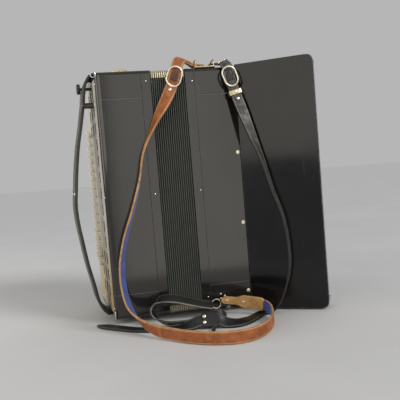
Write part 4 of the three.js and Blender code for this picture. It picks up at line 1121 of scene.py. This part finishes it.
# The black strap's ring: a glossy tongue, a brass keeper and two rivets.
at_ring = along_to(black_path, BLACK_RING)
strap_piece("black_ring_tongue", cut(black_path, at_ring - 13, at_ring + 9), (11.5, 1.9),
            [plastic], tapered(0, 10, 0.15), lift=2.5, crown=0.3)
strap_piece("black_ring_tab", cut(black_path, at_ring + 13, at_ring + 46), (16, 1.6),
            [grey_leather, black_leather, grey_leather], tapered(11, 0, 0.15), lift=2.35)
for name, spot, length, width, deep, wall in (
        ("keeper", (232.4, -14, 382), 8, STRAP + 1.6, 8, 0.9),
        ("fitting", (219.5, 7, 438.5), 5, STRAP + 1, 4, 0.8)):
    loop = sleeve(black_path, along_to(black_path, spot), length, width, deep, wall)
    piece("black_strap_" + name, loop, [brass], TREBLE)

rivets("black_strap_rivets", [spot_on(black_path, at_ring + below, 0, height)
                              for below, height in ((29, 4.9), (40, 3.1))], 3.0, 1.6)

# On the floor: the keeper with two rivets, a folded end beside it, and the belt's rivet.
at_keeper = along_to(black_path, (148, -74.2, 13.5))
toward = 1 if nearest(black_path, at_keeper)[3].y < 0 else -1
piece("belt_keeper_sleeve", sleeve(black_path, at_keeper, 24, STRAP + 2, 5, 1.8), [black_leather],
      TREBLE, ("belt_buckle",))
rivets("belt_keeper_rivets", [spot_on(black_path, at_keeper + 8, across, 4.3, toward)
                              for across in (-5, 4.5)], 3.1, 1.6)
folded = path([(x, y, z, 0, 0.6, 0.8) for x, y, z in (
    (178, -60, 13), (168, -62, 18.5), (158.5, -62, 17), (154.5, -61, 12.5), (158.5, -60, 8.2),
    (168, -58.5, 6.8), (177, -56.5, 8.6))], 1.5)
strap_piece("folded_belt_end", folded, (13, 2.2), [grey_leather, black_leather, raw_edge],
            tapered(6, 6, 0.5))
short = path([(157, -84, 4.8, 0.5, 0.85, 0), (151, -91.5, 3.2, 0.6, 0.8, 0),
              (146.5, -98, 1.8, 0.7, 0.7, 0)], 1.5)
strap_piece("short_belt_tip", short, (9, 1.8), [black_leather, black_leather, grey_leather],
            tapered(7, 0, 0.2))
at_rivet = along_to(belt_path, (81, -40, 8))
rivets("lower_belt_rivets", [spot_on(belt_path, at_rivet, 0, 1.35, face) for face in (1, -1)],
       2.4, 1.1, brass, TREBLE)


# Camera, light and floor

EYE = (11.3, -852.8, 243.9)
YAW, PITCH, ROLL = 9.91, 2.75, -4.6


def lamp(name, kind, spot, aim, power, **settings):
    """A light that points from a spot to an aim."""
    data = bpy.data.lights.new(name, kind)
    data.energy = power
    for key, value in settings.items():
        setattr(data, key, value)
    spot = Vector(spot)
    turn = (spot - Vector(aim)).to_track_quat("Z", "Y").to_matrix().to_4x4()
    shown(name, data).matrix_world = Matrix.Translation(spot) @ turn


# The camera at the photograph's place and angle.
lens = bpy.data.cameras.new("photo_camera")
lens.lens, lens.sensor_width, lens.clip_start = 45, 36, 0.01
camera = shown("photo_camera", lens)
camera.matrix_world = Matrix.Translation(place(BODY, *EYE))
for angle, axis in ((-YAW, "Z"), (90 - PITCH, "X"), (ROLL, "Z")):
    camera.matrix_world @= Matrix.Rotation(math.radians(angle), 4, axis)
bpy.context.scene.camera = camera

# A pale matt floor, with faint clouds, that keeps the shadow. It ends in front of the camera's
# view, so the casings mirror the lamps and not the floor.
pale_floor = finish("pale_floor", "c0c0c0", [("c7c7c7", 1, 300, 0.3, 0.7)], (0.75, 0.85),
                    (12, 0.3, 0.7), 0.1)
floor = mesh_from([(-40, -0.42, 0), (40, -0.42, 0), (40, 60, 0), (-40, 60, 0)], [(0, 1, 2, 3)],
                  Matrix())
shown("floor", painted(floor, [pale_floor]))

# Even pale light from all round, behind which the camera sees a plain wall.
world = bpy.data.worlds.new("studio")
bpy.context.scene.world = world
world.use_nodes = True
tree = world.node_tree
tree.nodes.clear()
rays = add(tree, "ShaderNodeLightPath")
light, wall = (add(tree, "ShaderNodeBackground", {"Color": srgb(color), "Strength": strength})
               for color, strength in (("e8e8ea", 0.6), ("b6b6b7", 1)))
both = add(tree, "ShaderNodeMixShader", {0: rays.outputs["Is Camera Ray"], 1: light, 2: wall})
add(tree, "ShaderNodeOutputWorld", {0: both})

lamp("window_light", "SUN", (0.7, -0.75, 0.75), (0, 0, 0), 1.5, angle=math.radians(20))
for name, spot, aim, wide, high, power in (
        ("softbox_behind_camera", (0.3, -1.62, 0.1), (0.3, 0, 0.1), 0.86, 2.6, 6.6),
        ("softbox_at_board", (-1.15, -1.75, 0.86), (0.35, -0.03, 0.86), 1.9, 1.08, 10),
        ("softbox_at_bass_end", (-1.9, 0.1, 0.8), (-0.2, 0, 0.25), 1.2, 1.2, 9)):
    lamp(name, "AREA", spot, aim, power, shape="RECTANGLE", size=wide, size_y=high,
         color=srgb("fffaec")[:3])
bpy.context.scene.view_settings.view_transform = "Standard"
